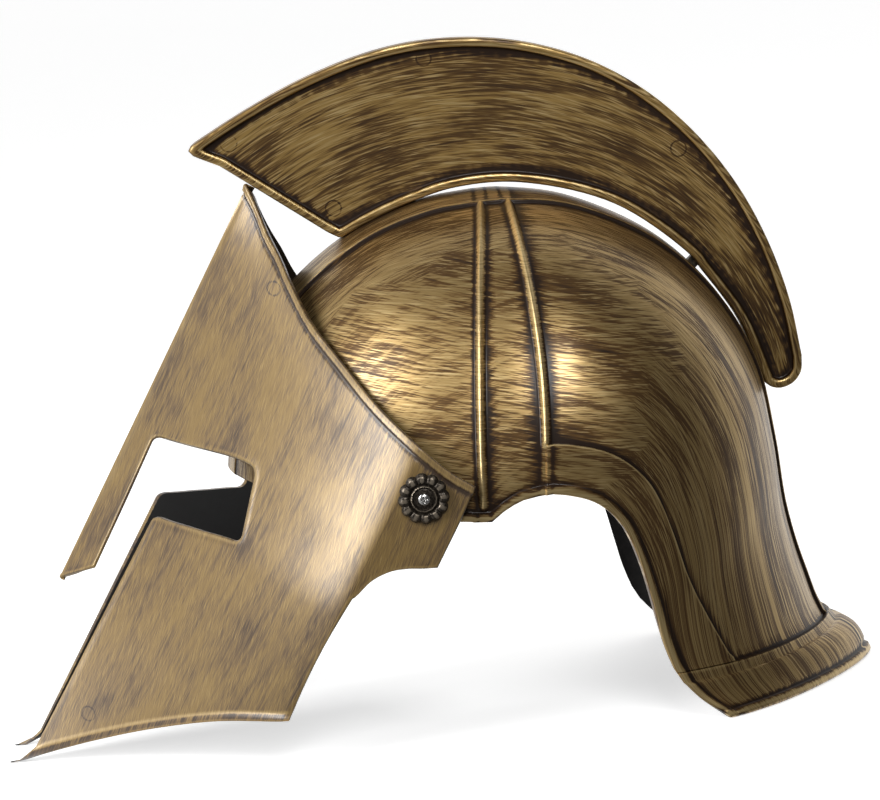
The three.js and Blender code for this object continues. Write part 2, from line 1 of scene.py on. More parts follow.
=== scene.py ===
"""Scene of a Greek hoplite dress helmet.

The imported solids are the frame. Each visible piece is worked out again here as a fine surface from
the same formulas as the solids, and gets its painted finish. Shape formulas are in millimetres in
the helmet's own layout; meshes are in metres in the frame's axes.
"""

import logging
import math
from dataclasses import dataclass, field
from enum import Enum

import bpy
import numpy as np
from mathutils import Matrix, Vector


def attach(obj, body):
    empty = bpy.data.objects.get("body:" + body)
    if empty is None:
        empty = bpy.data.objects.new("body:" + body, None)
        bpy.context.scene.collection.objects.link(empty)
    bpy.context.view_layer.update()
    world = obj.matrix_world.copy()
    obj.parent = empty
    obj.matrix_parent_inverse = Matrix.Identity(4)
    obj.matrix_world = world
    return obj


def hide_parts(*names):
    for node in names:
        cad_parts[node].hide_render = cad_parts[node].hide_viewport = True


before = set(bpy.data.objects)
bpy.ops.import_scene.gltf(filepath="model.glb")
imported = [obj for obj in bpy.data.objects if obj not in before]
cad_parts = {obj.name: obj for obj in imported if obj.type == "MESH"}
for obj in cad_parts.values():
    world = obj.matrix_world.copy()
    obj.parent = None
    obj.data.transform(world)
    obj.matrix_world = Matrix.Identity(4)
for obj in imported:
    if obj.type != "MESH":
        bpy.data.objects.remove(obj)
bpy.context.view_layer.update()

LOG = logging.getLogger("helmet")
MM = 0.001
CENTRE_SHIFT = 13.6     # from the helmet's own layout to the frame, along Y
DOME_Y, DOME_Z, DOME_R = 22.7, 104.3, 120.9
PIVOT_Y, PIVOT_Z = -14.5, 112.6
QUARTER_TURN = math.pi / 2
FAR = 99.0              # stands for a distance that is out of reach
FLOAT, VECTOR = "NodeSocketFloat", "NodeSocketVector"


class Body(Enum):
    """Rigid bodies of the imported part."""

    BOWL = "bowl"
    FACE_PLATE = "face_plate"


class Slot(Enum):
    """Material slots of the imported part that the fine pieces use."""

    GOLD = "antique_gold"
    PEWTER = "dark_pewter"
    STEEL = "steel"


class Side(Enum):
    """Sides of the wearer; the value is the sign of X."""

    LEFT = 1
    RIGHT = -1


class Zone(Enum):
    """Bands of the face plate's net, from the peak down."""

    FOREHEAD = 0
    EYE = 1
    CHEEK = 2
    FLANGE = 3


# ------------------------------------------------------------------ curves and profiles
def through(knots: list, at: np.ndarray) -> np.ndarray:
    """Smooth curve through knots, flat beyond both ends.

    Between two knots it is the cubic with end slopes of the chord over the neighbouring knots.

    Args:
        knots: pairs of place and value.
        at: places to read.

    Returns:
        The values, shaped as at.
    """
    k = np.asarray(knots, float)
    x, y = k[:, 0], k[:, 1]
    a = np.maximum(np.arange(len(x)) - 1, 0)
    b = np.minimum(np.arange(len(x)) + 1, len(x) - 1)
    slope = (y[b] - y[a]) / (x[b] - x[a])
    at = np.clip(np.asarray(at, float), x[0], x[-1])
    i = np.clip(np.searchsorted(x, at, side="right") - 1, 0, len(x) - 2)
    w = x[i + 1] - x[i]
    s = (at - x[i]) / w
    h = s * s * (3 - 2 * s)
    bend = slope[i] * s * (1 - s) ** 2 - slope[i + 1] * s * s * (1 - s)
    return y[i] * (1 - h) + y[i + 1] * h + w * bend


def spline(points: np.ndarray, at: np.ndarray) -> np.ndarray:
    """Centripetal Catmull-Rom curve through points.

    Args:
        points: the points, one row each.
        at: places from 0 at the first point to 1 at the last.

    Returns:
        One point for each place.
    """
    p = np.asarray(points, float)
    p = np.vstack([2 * p[0] - p[1], p, 2 * p[-1] - p[-2]])
    last = len(points) - 1
    t = np.clip(np.asarray(at, float), 0, 1) * last
    i = np.clip(np.floor(t).astype(int), 0, last - 1)
    s = (t - i)[..., None]
    p0, p1, p2, p3 = (p[i + k] for k in range(4))
    d0, d1, d2 = (np.linalg.norm(step, axis=-1, keepdims=True) ** 0.5 for step in (p1 - p0, p2 - p1, p3 - p2))
    m1 = ((p1 - p0) / d0 - (p2 - p0) / (d0 + d1) + (p2 - p1) / d1) * d1
    m2 = ((p2 - p1) / d1 - (p3 - p1) / (d1 + d2) + (p3 - p2) / d2) * d1
    return p1 + s * m1 + s ** 2 * (3 * (p2 - p1) - 2 * m1 - m2) + s ** 3 * (2 * (p1 - p2) + m1 + m2)


def ease(x: np.ndarray, start: float, end: float) -> np.ndarray:
    """Smooth step: 0 at start, 1 at end, level at both."""
    s = np.clip((np.asarray(x, float) - start) / (end - start), 0, 1)
    return s * s * (3 - 2 * s)


def hump(x: np.ndarray, half: float) -> np.ndarray:
    """Rounded ridge: 1 at 0, falling as a squared cosine to 0 at half."""
    return np.cos(QUARTER_TURN * np.clip(np.abs(x) / half, 0, 1)) ** 2


def rolled(distance: np.ndarray, radius: float) -> np.ndarray:
    """Depth of a rounded edge: radius minus the quarter circle's height at a distance from the edge."""
    d = np.clip(distance, 0, radius)
    return radius - np.sqrt(np.maximum(radius ** 2 - (radius - d) ** 2, 0))


def highest(*parts: np.ndarray) -> np.ndarray:
    """The largest of several arrays at each place, after they are spread to one shape."""
    return np.maximum.reduce(np.broadcast_arrays(*parts))


def dome_point(degrees: np.ndarray, r: np.ndarray = DOME_R) -> np.ndarray:
    """Points (y, z) around the dome's centre; 180 degrees is the front, 0 the back."""
    a = np.radians(degrees)
    return np.stack([DOME_Y + r * np.cos(a), DOME_Z + r * np.sin(a)], -1)


def unit(v: np.ndarray) -> np.ndarray:
    """Vectors scaled to length 1."""
    return v / np.maximum(np.linalg.norm(v, axis=-1, keepdims=True), 1e-12)


def spaced(run: np.ndarray, count: int) -> np.ndarray:
    """Points spaced evenly along a run of straight steps.

    Args:
        run: the run's points (y, z).
        count: how many points to return, both ends included.

    Returns:
        The points (y, z).
    """
    s = np.r_[0, np.cumsum(np.linalg.norm(np.diff(run, axis=0), axis=1))]
    at = np.linspace(0, s[-1], count)
    return np.stack([np.interp(at, s, run[:, 0]), np.interp(at, s, run[:, 1])], 1)


def nearest(points: np.ndarray, marks: np.ndarray) -> np.ndarray:
    """Distance of each point from the nearest of the marks."""
    return np.min([np.linalg.norm(points - mark, axis=1) for mark in marks], axis=0)


# ------------------------------------------------------------------ meshes
@dataclass
class Paint:
    """What a piece's vertices tell its paint.

    lay is the place along and across the brush strokes in millimetres. grime in the hollows with the
    painted shade under the crest, wear on the ridges with the painted highlight on the bowl's border
    and ledge, and turned run from 0 to 1; turned is the share of strokes that run level on the side
    view instead of along the lay.
    """

    lay: np.ndarray
    grime_and_shade: np.ndarray
    wear_and_highlight: np.ndarray
    turned: np.ndarray | float = 0.3


@dataclass
class Net:
    """A sheet's outer and inner nets of points [row, column, xyz] in millimetres, and its paint.

    has says which cells have material, all of them if it is None. wrap closes the net round from its
    last column to its first.
    """

    outer: np.ndarray
    inner: np.ndarray
    paint: Paint
    has: np.ndarray | None = None
    wrap: bool = False


def mirrored(net: np.ndarray, sign: int = -1) -> np.ndarray:
    """A half net made whole: its mirror image first, then itself, sharing the first column.

    Args:
        net: [row, column] or [row, column, k]; x comes first where k is 3.
        sign: what the first of the k values is multiplied by in the mirror image.

    Returns:
        The whole net.
    """
    right = net[:, :0:-1].copy()
    if net.ndim == 3:
        right[..., 0] *= sign
    return np.concatenate([right, net], axis=1)


def mirrored_lay(lay: np.ndarray, apart: float) -> np.ndarray:
    """A half net's lay made whole, with other strokes on the mirrored half.

    Args:
        lay: [row, column, 2].
        apart: how far the mirrored half's strokes lie from the first half's, in millimetres.

    Returns:
        The whole net's lay.
    """
    whole = mirrored(lay, 1)
    half = lay.shape[1] - 1
    whole[:, :half, 1] = -whole[:, :half, 1] - apart
    return whole


def closed_round(net: np.ndarray) -> np.ndarray:
    """A net with its first column again after its last."""
    return np.concatenate([net, net[:, :1]], axis=1)


def quads(number: np.ndarray) -> np.ndarray:
    """The four corners of every cell of a net of vertex numbers."""
    return np.stack([number[:-1, :-1], number[:-1, 1:], number[1:, 1:], number[1:, :-1]], -1)


def build_mesh(name: str, points: np.ndarray, faces: np.ndarray, paint: Paint,
               inside: np.ndarray | None = None, sharp: float = 50.0) -> bpy.types.Object:
    """Makes a mesh object from whole arrays, with faces turned outwards.

    Args:
        name: the piece's name.
        points: vertices in millimetres in the helmet's own layout.
        faces: quads as vertex numbers.
        paint: lay, grime with painted shade, wear with painted highlight, and turned, one value or row per
            vertex.
        inside: True for each face that gets the second material.
        sharp: edges that bend by more degrees than this stay sharp.

    Returns:
        The new object, at the origin.
    """
    used, faces_flat = np.unique(faces, return_inverse=True)
    faces = faces_flat.reshape(faces.shape)
    place = (points[used] + (0, CENTRE_SHIFT, 0)) * MM
    a, b, c, d = (place[faces[:, k]] for k in range(4))
    volume = np.einsum("ij,ij->", a, np.cross(b, c)) + np.einsum("ij,ij->", a, np.cross(c, d))
    if volume < 0:
        faces = faces[:, ::-1]
    mesh = bpy.data.meshes.new(name)
    mesh.from_pydata(place.tolist(), [], faces.tolist())
    if inside is not None:
        mesh.polygons.foreach_set("material_index", inside.astype(np.int32))
    corners = np.zeros(len(mesh.loops), np.int32)
    mesh.loops.foreach_get("vertex_index", corners)
    uv = mesh.uv_layers.new(name="lay")
    uv.data.foreach_set("uv", (paint.lay[used][corners] * MM).astype(np.float32).ravel())
    for key, value in (("grime_and_shade", paint.grime_and_shade), ("wear_and_highlight", paint.wear_and_highlight), ("turned", paint.turned)):
        value = np.broadcast_to(value, len(points))[used]
        mesh.attributes.new(key, "FLOAT", "POINT").data.foreach_set("value", value.astype(np.float32))
    mesh.polygons.foreach_set("use_smooth", np.ones(len(faces), bool))
    mesh.update()
    mesh.set_sharp_from_angle(angle=math.radians(sharp))
    piece = bpy.data.objects.new(name, mesh)
    bpy.context.scene.collection.objects.link(piece)
    return piece


def sheet_mesh(name: str, net: Net, sharp: float = 50.0) -> bpy.types.Object:
    """Closed sheet: outer net, inner net, and a wall wherever the next cell is missing.

    Args:
        name: the piece's name.
        net: the nets and their paint.
        sharp: edges that bend by more degrees than this stay sharp.

    Returns:
        The new object; the inner net's faces have the second material.
    """
    rows, cols = net.outer.shape[:2]
    shift = rows * cols
    number = np.arange(shift).reshape(rows, cols)
    if net.wrap:
        number = closed_round(number)
    cells = quads(number)
    has = np.ones(cells.shape[:2], bool) if net.has is None else net.has
    around = np.pad(has, 1)
    if net.wrap:
        around[:, 0], around[:, -1] = around[:, -2], around[:, 1]
    beside = {(0, 1): around[:-2, 1:-1], (1, 2): around[1:-1, 2:],
              (2, 3): around[2:, 1:-1], (3, 0): around[1:-1, :-2]}
    walls = []
    for (i, j), neighbour in beside.items():
        free = cells[has & ~neighbour]
        walls.append(np.stack([free[:, j], free[:, i], free[:, i] + shift, free[:, j] + shift], -1))
    outer, inner, wall = cells[has], cells[has][:, ::-1] + shift, np.concatenate(walls)
    inside = np.arange(len(outer) + len(wall) + len(inner)) >= len(outer) + len(wall)
    points = np.concatenate([net.outer.reshape(-1, 3), net.inner.reshape(-1, 3)])
    lay = np.tile(net.paint.lay.reshape(shift, 2), (2, 1))
    grime_and_shade, wear_and_highlight, turned = (np.tile(np.broadcast_to(value, (rows, cols)).ravel(), 2)
                           for value in (net.paint.grime_and_shade, net.paint.wear_and_highlight, net.paint.turned))
    return build_mesh(name, points, np.concatenate([outer, wall, inner]), Paint(lay, grime_and_shade, wear_and_highlight, turned),
                      inside, sharp)


# ------------------------------------------------------------------ materials
class Graph:
    """Short way to write a shader node tree."""

    def __init__(self, tree: bpy.types.NodeTree) -> None:
        """Keeps the tree that the nodes go into."""
        self.tree = tree

    def node(self, kind: str, inputs: dict | None = None, **settings: object) -> bpy.types.Node:
        """Adds a node.

        Args:
            kind: the node's type name.
            inputs: socket name or number to a value or to another node's output.
            settings: properties of the node.

        Returns:
            The node.
        """
        made = self.tree.nodes.new(kind)
        for key, value in settings.items():
            setattr(made, key, value)
        for key, value in (inputs or {}).items():
            if isinstance(value, bpy.types.NodeSocket):
                self.tree.links.new(value, made.inputs[key])
            else:
                made.inputs[key].default_value = value
        return made

    def math(self, operation: str, a: object, b: object = 0.0) -> bpy.types.NodeSocket:
        """One arithmetic step on two values."""
        return self.node("ShaderNodeMath", {0: a, 1: b}, operation=operation).outputs[0]

    def weighted(self, *terms: tuple) -> bpy.types.NodeSocket:
        """Sum of values, each times its own weight.

        Args:
            terms: pairs of value and weight.

        Returns:
            The sum.
        """
        total = self.math("MULTIPLY", *terms[0])
        for value, weight in terms[1:]:
            total = self.math("ADD", total, self.math("MULTIPLY", value, weight))
        return total

    def spread(self, value: object, low: object, high: object, to_low: object = 0.0,
               to_high: object = 1.0) -> bpy.types.NodeSocket:
        """Maps a range smoothly onto another, held at both ends.

        Args:
            value: what is mapped.
            low: start of its range.
            high: end of its range.
            to_low: what low becomes.
            to_high: what high becomes.

        Returns:
            The mapped value.
        """
        made = self.node("ShaderNodeMapRange", {0: value, 1: low, 2: high, 3: to_low, 4: to_high},
                         interpolation_type="SMOOTHSTEP")
        return made.outputs[0]

    def noise(self, vector: object, detail: float = 3.0, rough: float = 0.55) -> bpy.types.NodeSocket:
        """Soft noise over a place given in units of the noise's own size."""
        inputs = {"Vector": vector, "Scale": 1.0, "Detail": detail, "Roughness": rough}
        return self.node("ShaderNodeTexNoise", inputs).outputs[0]

    def scaled(self, vector: object, per_metre: tuple, shift: float = 0.0) -> bpy.types.NodeSocket:
        """A place in metres times so many units per metre along each axis, and shifted.

        Args:
            vector: the place.
            per_metre: units per metre along x, y and z.
            shift: moves the place to another part of a noise.

        Returns:
            The new place.
        """
        inputs = {0: vector, 1: per_metre, 2: (shift, shift * 0.7, shift * 1.3)}
        return self.node("ShaderNodeVectorMath", inputs, operation="MULTIPLY_ADD").outputs[0]

    def mix(self, factor: object, a: object, b: object) -> bpy.types.NodeSocket:
        """Blend of two colours."""
        return self.node("ShaderNodeMix", {0: factor, 6: a, 7: b}, data_type="RGBA").outputs[2]

    def link(self, value: bpy.types.NodeSocket, socket: bpy.types.NodeSocket) -> None:
        """Joins an output to an input."""
        self.tree.links.new(value, socket)


def new_group(name: str, inputs: dict, outputs: dict) -> tuple[Graph, bpy.types.Node, bpy.types.Node]:
    """Makes an empty shader node group.

    Args:
        name: the group's name.
        inputs: socket name to (socket type, default value).
        outputs: socket name to socket type.

    Returns:
        The group's graph, its input node and its output node.
    """
    tree = bpy.data.node_groups.new(name, "ShaderNodeTree")
    for key, (kind, value) in inputs.items():
        socket = tree.interface.new_socket(name=key, in_out="INPUT", socket_type=kind)
        if value is not None:
            socket.default_value = value
    for key, kind in outputs.items():
        tree.interface.new_socket(name=key, in_out="OUTPUT", socket_type=kind)
    graph = Graph(tree)
    return graph, graph.node("NodeGroupInput"), graph.node("NodeGroupOutput")


@dataclass(frozen=True)
class Stroke:
    """Size of a brush stroke in metres, and the part of the noise that draws it."""

    length: float
    width: float
    shift: float


class BrushedPatina:
    """Node group for dry-brushed paint over a dark ground: how much gold covers each place.

    Two layers of strokes cross at a small angle. Each is noise stretched along its own axis of the
    lay, or level on the side view where the paint was brushed across. Blotches thin the paint out,
    grime in the hollows and painted shade take it away, and wear on the ridges with the painted
    highlight brings it up to a full cover.
    """

    BANDS = Stroke(0.040, 0.0022, 0.0)
    LONG = Stroke(0.020, 0.0006, 5.0)
    FINE = Stroke(0.009, 0.00034, 9.0)
    LEVEL_SHIFT = 3.0
    PATCHES = 38.0          # patches of level strokes, per metre
    WEAR_AND_HIGHLIGHT_COVER = 0.58       # cover that full wear and painted highlight bring a place to

    def __init__(self) -> None:
        """Makes the group and all its nodes."""
        self.g, given, self.end = new_group(
            "brushed_patina",
            {"Lay": (VECTOR, None), "Place": (VECTOR, None), "Turned": (FLOAT, 0.3), "Grime_and_shade": (FLOAT, 0.0),
             "Wear_and_highlight": (FLOAT, 0.0), "Cover": (FLOAT, 0.0), "Length": (FLOAT, 1.0), "Width": (FLOAT, 1.0),
             "Lean": (FLOAT, 0.0), "Cross": (FLOAT, 0.25), "Soft": (FLOAT, 0.06), "Blotches": (FLOAT, 0.24),
             "Seed": (FLOAT, 0.0)},
            {"Wash": FLOAT, "Gold": FLOAT, "Bright": FLOAT, "Height": FLOAT})
        self.tree = self.g.tree
        self.given = given.outputs
        self.lay = self.g.node("ShaderNodeSeparateXYZ", {0: self.given["Lay"]}).outputs
        self.side = self.g.node("ShaderNodeSeparateXYZ", {0: self.given["Place"]}).outputs
        self.patch = self.g.noise(self.g.scaled(self.given["Place"], (self.PATCHES,) * 3, 2.0), 3.0, 0.6)
        wanted = self.g.math("SUBTRACT", self.given["Turned"], 0.5)
        self.level = self.g.spread(self.g.math("ADD", self.patch, wanted), 0.44, 0.56)
        self.connect()

    def strokes(self, start: object, rise: object, lean: object, stroke: Stroke) -> bpy.types.NodeSocket:
        """Noise strokes on two coordinates.

        Args:
            start: coordinate along the strokes.
            rise: coordinate across them.
            lean: slope that they are leaned by.
            stroke: their size before the group's Length and Width.

        Returns:
            The noise, about 0.2 to 0.8.
        """
        g, given = self.g, self.given
        along = g.math("ADD", start, g.math("MULTIPLY", rise, lean))
        across = g.math("SUBTRACT", rise, g.math("MULTIPLY", start, lean))
        along = g.math("DIVIDE", along, given["Length"])
        across = g.math("DIVIDE", across, given["Width"])
        place = g.node("ShaderNodeCombineXYZ", {0: along, 1: across, 2: given["Seed"]}).outputs[0]
        return g.noise(g.scaled(place, (1 / stroke.length, 1 / stroke.width, 1), stroke.shift), 2.0, 0.6)

    def layer(self, lean: object, slope: float, stroke: Stroke) -> bpy.types.NodeSocket:
        """Strokes along the lay, and level ones of the same size where the paint was brushed across.

        Args:
            lean: slope of the strokes on the lay.
            slope: slope of the level strokes on the side view.
            stroke: their size.

        Returns:
            The layer's noise.
        """
        first = self.strokes(self.lay[0], self.lay[1], lean, stroke)
        shifted = Stroke(stroke.length, stroke.width, stroke.shift + self.LEVEL_SHIFT)
        level = self.strokes(self.side[1], self.side[2], slope, shifted)
        return self.g.node("ShaderNodeMix", {0: self.level, 2: first, 3: level}, data_type="FLOAT").outputs[0]

    def grime_and_shade(self, bands: bpy.types.NodeSocket, long: bpy.types.NodeSocket) -> bpy.types.NodeSocket:
        """Paint that grime and painted shade take away: everywhere in their core, and ragged along the
        strokes around it.

        Args:
            bands: the broad bands' noise.
            long: the long strokes' noise.

        Returns:
            What to take from the cover.
        """
        g, given = self.g, self.given
        ragged = g.spread(g.weighted((bands, 0.5), (long, 0.5)), 0.3, 0.62, 0.34, 0.04)
        uneven = g.math("MULTIPLY", given["Grime_and_shade"], g.spread(self.patch, 0.36, 0.56, 0.5, 1.0))
        core = g.math("MULTIPLY", g.math("POWER", given["Grime_and_shade"], 4.0), 0.22)
        return g.math("ADD", core, g.math("MULTIPLY", uneven, ragged))

    def connect(self) -> None:
        """Adds up the cover from the layers and joins it to the outputs."""
        g, given, end = self.g, self.given, self.end.inputs
        bands = self.strokes(self.lay[0], self.lay[1], given["Lean"], self.BANDS)
        long = self.layer(given["Lean"], -0.30, self.LONG)
        fine = self.layer(g.math("ADD", given["Lean"], given["Cross"]), -0.12, self.FINE)
        blotch = g.noise(g.scaled(given["Lay"], (24, 60, 1), 13.0), 3.0, 0.6)
        blotched = g.math("SUBTRACT", blotch, 0.5)
        cover = g.weighted((long, 0.46), (fine, 0.36), (bands, 0.18), (blotched, given["Blotches"]))
        cover = g.math("ADD", cover, given["Cover"])
        cover = g.math("SUBTRACT", cover, self.grime_and_shade(bands, long))
        missing = g.math("SUBTRACT", self.WEAR_AND_HIGHLIGHT_COVER, cover)
        cover = g.math("ADD", cover, g.math("MULTIPLY", missing, given["Wear_and_highlight"]))
        low, high = g.math("SUBTRACT", 0.5, given["Soft"]), g.math("ADD", 0.5, given["Soft"])
        # bright gold on fine strokes, on wear and on painted highlight
        rubbed_and_highlight = g.math("ADD", fine, g.math("MULTIPLY", given["Wear_and_highlight"], 0.2))
        g.link(g.spread(cover, 0.26, 0.50), end["Wash"])
        g.link(g.spread(cover, low, high), end["Gold"])
        g.link(g.spread(rubbed_and_highlight, 0.5, 0.75), end["Bright"])
        g.link(g.weighted((long, 0.6), (fine, 0.4)), end["Height"])


def ring_mark_group() -> bpy.types.NodeTree:
    """Shallow ring pressed into the surface around a place (y, z): 1 on the ring, 0 off it.

    Returns:
        The node group.
    """
    inputs = {"Place": (VECTOR, None), "Y": (FLOAT, 0.0), "Z": (FLOAT, 0.0), "Radius": (FLOAT, 0.0026)}
    g, given, end = new_group("ring_mark", inputs, {"Mark": FLOAT})
    place = g.node("ShaderNodeSeparateXYZ", {0: given.outputs["Place"]}).outputs
    dy = g.math("SUBTRACT", place[1], given.outputs["Y"])
    dz = g.math("SUBTRACT", place[2], given.outputs["Z"])
    r = g.math("SQRT", g.math("ADD", g.math("MULTIPLY", dy, dy), g.math("MULTIPLY", dz, dz)))
    off = g.math("ABSOLUTE", g.math("SUBTRACT", r, given.outputs["Radius"]))
    g.link(g.spread(off, 0.0002, 0.0006, 1.0, 0.0), end.inputs["Mark"])
    return g.tree


@dataclass(frozen=True)
class Colours:
    """Paint colours, linear: dark ground, thin brown wash, gold, and bright gold for rubbed places and
    painted highlight.
    """

    ground: tuple = (0.016, 0.007, 0.0025, 1)
    wash: tuple = (0.14, 0.075, 0.026, 1)
    gold: tuple = (0.44, 0.295, 0.115, 1)
    bright: tuple = (0.72, 0.54, 0.26, 1)


@dataclass(frozen=True)
class AntiqueGold:
    """Brushed antique gold paint on dark moulded plastic, under a clear gloss coat.

    rings holds the small pressed ring marks as (y, z, radius) in millimetres in the frame's axes.
    """

    name: str
    cover: float = 0.0
    length: float = 1.0
    width: float = 1.0
    lean: float = 0.0
    cross: float = 0.25
    seed: float = 0.0
    rings: tuple = ()
    soft: float = 0.06
    coat: float = 0.4
    coat_ior: float = 1.5
    metal: float = 0.85
    blotches: float = 0.24
    gloss: float = 0.26
    colours: Colours = field(default_factory=Colours)

    def make(self, patina: bpy.types.NodeTree, ring: bpy.types.NodeTree) -> bpy.types.Material:
        """Builds the material.

        Args:
            patina: the brushed_patina group.
            ring: the ring_mark group.

        Returns:
            The material.
        """
        material = bpy.data.materials.new(self.name)
        material.use_nodes = True
        g = Graph(material.node_tree)
        shader = material.node_tree.nodes["Principled BSDF"].inputs
        paint = self.paint(g, patina)
        height = self.press_rings(g, ring, paint)
        gold, c = paint.outputs["Gold"], self.colours
        body = g.mix(paint.outputs["Wash"], c.ground, c.wash)
        body = g.mix(gold, body, c.gold)
        body = g.mix(g.math("MULTIPLY", paint.outputs["Bright"], gold), body, c.bright)
        g.link(body, shader["Base Color"])
        g.link(g.spread(gold, 0.0, 1.0, 0.5, 0.36), shader["Roughness"])
        g.link(g.spread(paint.outputs["Wash"], 0.0, 1.0, 0.0, self.metal), shader["Metallic"])
        bump = g.node("ShaderNodeBump", {"Height": height, "Strength": 0.2, "Distance": 0.00012})
        g.link(bump.outputs[0], shader["Normal"])
        shader["Specular IOR Level"].default_value = 0.15
        shader["Coat Weight"].default_value = self.coat
        shader["Coat Roughness"].default_value = self.gloss
        shader["Coat IOR"].default_value = self.coat_ior
        return material

    def paint(self, g: Graph, patina: bpy.types.NodeTree) -> bpy.types.Node:
        """Adds the patina group with this finish's values and the piece's own lay, wear and place.

        Args:
            g: the material's graph.
            patina: the brushed_patina group.

        Returns:
            The group's node.
        """
        paint = g.node("ShaderNodeGroup", node_tree=patina)
        sizes = {"Cover": self.cover, "Length": self.length, "Width": self.width, "Lean": self.lean,
                 "Cross": self.cross, "Soft": self.soft, "Blotches": self.blotches, "Seed": self.seed}
        for key, value in sizes.items():
            paint.inputs[key].default_value = value
        g.link(g.node("ShaderNodeUVMap", uv_map="lay").outputs[0], paint.inputs["Lay"])
        g.link(g.node("ShaderNodeTexCoord").outputs["Object"], paint.inputs["Place"])
        for key in ("Grime_and_shade", "Wear_and_highlight", "Turned"):
            value = g.node("ShaderNodeAttribute", attribute_name=key.lower()).outputs["Fac"]
            g.link(value, paint.inputs[key])
        return paint

    def press_rings(self, g: Graph, ring: bpy.types.NodeTree, paint: bpy.types.Node) -> bpy.types.NodeSocket:
        """Presses the ring marks into the paint's height and darkens them.

        Args:
            g: the material's graph.
            ring: the ring_mark group.
            paint: the patina group's node.

        Returns:
            The height with the rings in it.
        """
        height = paint.outputs["Height"]
        # grime, with the painted shade on the bowl, from the piece's attribute
        dirt_and_shade = paint.inputs["Grime_and_shade"].links[0].from_socket
        place = paint.inputs["Place"].links[0].from_socket
        for y, z, radius in self.rings:
            inputs = {"Place": place, "Y": y * MM, "Z": z * MM, "Radius": radius * MM}
            mark = g.node("ShaderNodeGroup", inputs, node_tree=ring).outputs["Mark"]
            dirt_and_shade = g.math("MAXIMUM", dirt_and_shade, g.math("MULTIPLY", mark, 0.7))
            height = g.math("SUBTRACT", height, mark)
        g.link(dirt_and_shade, paint.inputs["Grime_and_shade"])
        return height


@dataclass(frozen=True)
class Moulded:
    """Moulded or plated surface with a fine grain and slight colour change.

    grain is per metre. With edge above 0, the light colour is worn through on the ridges.
    """

    name: str
    dark: tuple
    light: tuple
    metallic: float
    roughness: float
    grain: float = 900.0
    edge: float = 0.0

    def make(self) -> bpy.types.Material:
        """Builds the material: grain noise blends the two colours and makes a fine bump.

        Returns:
            The material.
        """
        material = bpy.data.materials.new(self.name)
        material.use_nodes = True
        g = Graph(material.node_tree)
        shader = material.node_tree.nodes["Principled BSDF"].inputs
        place = g.node("ShaderNodeTexCoord").outputs["Object"]
        grain = g.noise(g.scaled(place, (self.grain,) * 3), 3.0)
        blend = g.spread(grain, 0.35, 0.7)
        if self.edge > 0:
            wear_and_highlight = g.node("ShaderNodeAttribute", attribute_name="wear_and_highlight").outputs["Fac"]
            ragged = g.math("MULTIPLY", g.math("SUBTRACT", grain, 0.5), 0.8)
            rubbed_and_highlight = g.spread(g.math("ADD", wear_and_highlight, ragged), 0.45, 0.9)
            blend = g.math("MAXIMUM", g.math("MULTIPLY", blend, 0.25), g.math("MULTIPLY", rubbed_and_highlight, self.edge))
        smooth, rough = self.roughness * 0.85, self.roughness * 1.15
        g.link(g.mix(blend, self.dark, self.light), shader["Base Color"])
        g.link(g.spread(grain, 0.2, 0.8, smooth, rough), shader["Roughness"])
        bump = g.node("ShaderNodeBump", {"Height": grain, "Strength": 0.2, "Distance": 0.0001})
        g.link(bump.outputs[0], shader["Normal"])
        shader["Metallic"].default_value = self.metallic
        return material


class Finishes:
    """The helmet's materials, each made once."""

    def __init__(self) -> None:
        """Makes both node groups and all the materials."""
        groups = BrushedPatina().tree, ring_mark_group()
        self.lining = Moulded(
            "dark_lining", (0.014, 0.012, 0.011, 1), (0.026, 0.022, 0.02, 1), 0.0, 0.5, 400).make()
        self.bowl_gold = AntiqueGold(
            "bowl_gold", length=1.4, width=1.25, lean=-0.12, cross=0.3, blotches=0.45, seed=1.0).make(*groups)
        self.plate_gold = AntiqueGold(
            "plate_gold", cover=0.01, length=0.8, width=0.75, soft=0.12, coat=1.0, gloss=0.34, metal=0.3,
            blotches=0.55, coat_ior=1.58, seed=4.0, rings=((-52.8, 196.5, 2.8), (-155, 20.4, 3.0)),
            colours=Colours(ground=(0.045, 0.026, 0.014, 1), wash=(0.15, 0.094, 0.046, 1),
                            gold=(0.27, 0.172, 0.056, 1), bright=(0.39, 0.265, 0.10, 1))).make(*groups)
        self.crest_gold = AntiqueGold(
            "crest_gold", cover=-0.02, length=1.6, width=1.6, cross=0.1, soft=0.08, blotches=0.45,
            metal=0.75, seed=7.0,
            rings=((-65, 258.3, 3.6), (-23.2, 225.1, 3.4), (23, 285.1, 3.2), (129, 233.7, 3.4)),
            colours=Colours(gold=(0.50, 0.32, 0.105, 1), wash=(0.125, 0.068, 0.024, 1))).make(*groups)
        self.pewter = Moulded(
            "worn_pewter", (0.022, 0.017, 0.013, 1), (0.30, 0.25, 0.19, 1), 0.7, 0.36, 1500, 0.9).make()
        self.steel = Moulded(
            "bright_steel", (0.55, 0.54, 0.52, 1), (0.75, 0.74, 0.72, 1), 1.0, 0.25, 2500).make()
        self.peg = Moulded(
            "peg_plastic", (0.03, 0.024, 0.018, 1), (0.10, 0.075, 0.04, 1), 0.2, 0.45, 600).make()


# ------------------------------------------------------------------ sub-assemblies
class SubAssembly:
    """What every sub-assembly of the helmet shares: the way that a finished piece is dressed."""

    body = Body.BOWL
    slot = Slot.GOLD

    def dress(self, piece: bpy.types.Object, materials: list, node: str) -> bpy.types.Object:
        """Gives a piece its materials and its body, and hides the solid that it stands for.

        Args:
            piece: the finished object.
            materials: its materials, outside first.
            node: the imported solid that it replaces.

        Returns:
            The same object.
        """
        for material in materials:
            piece.data.materials.append(material)
        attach(piece, self.body.value)
        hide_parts(node)
        return piece


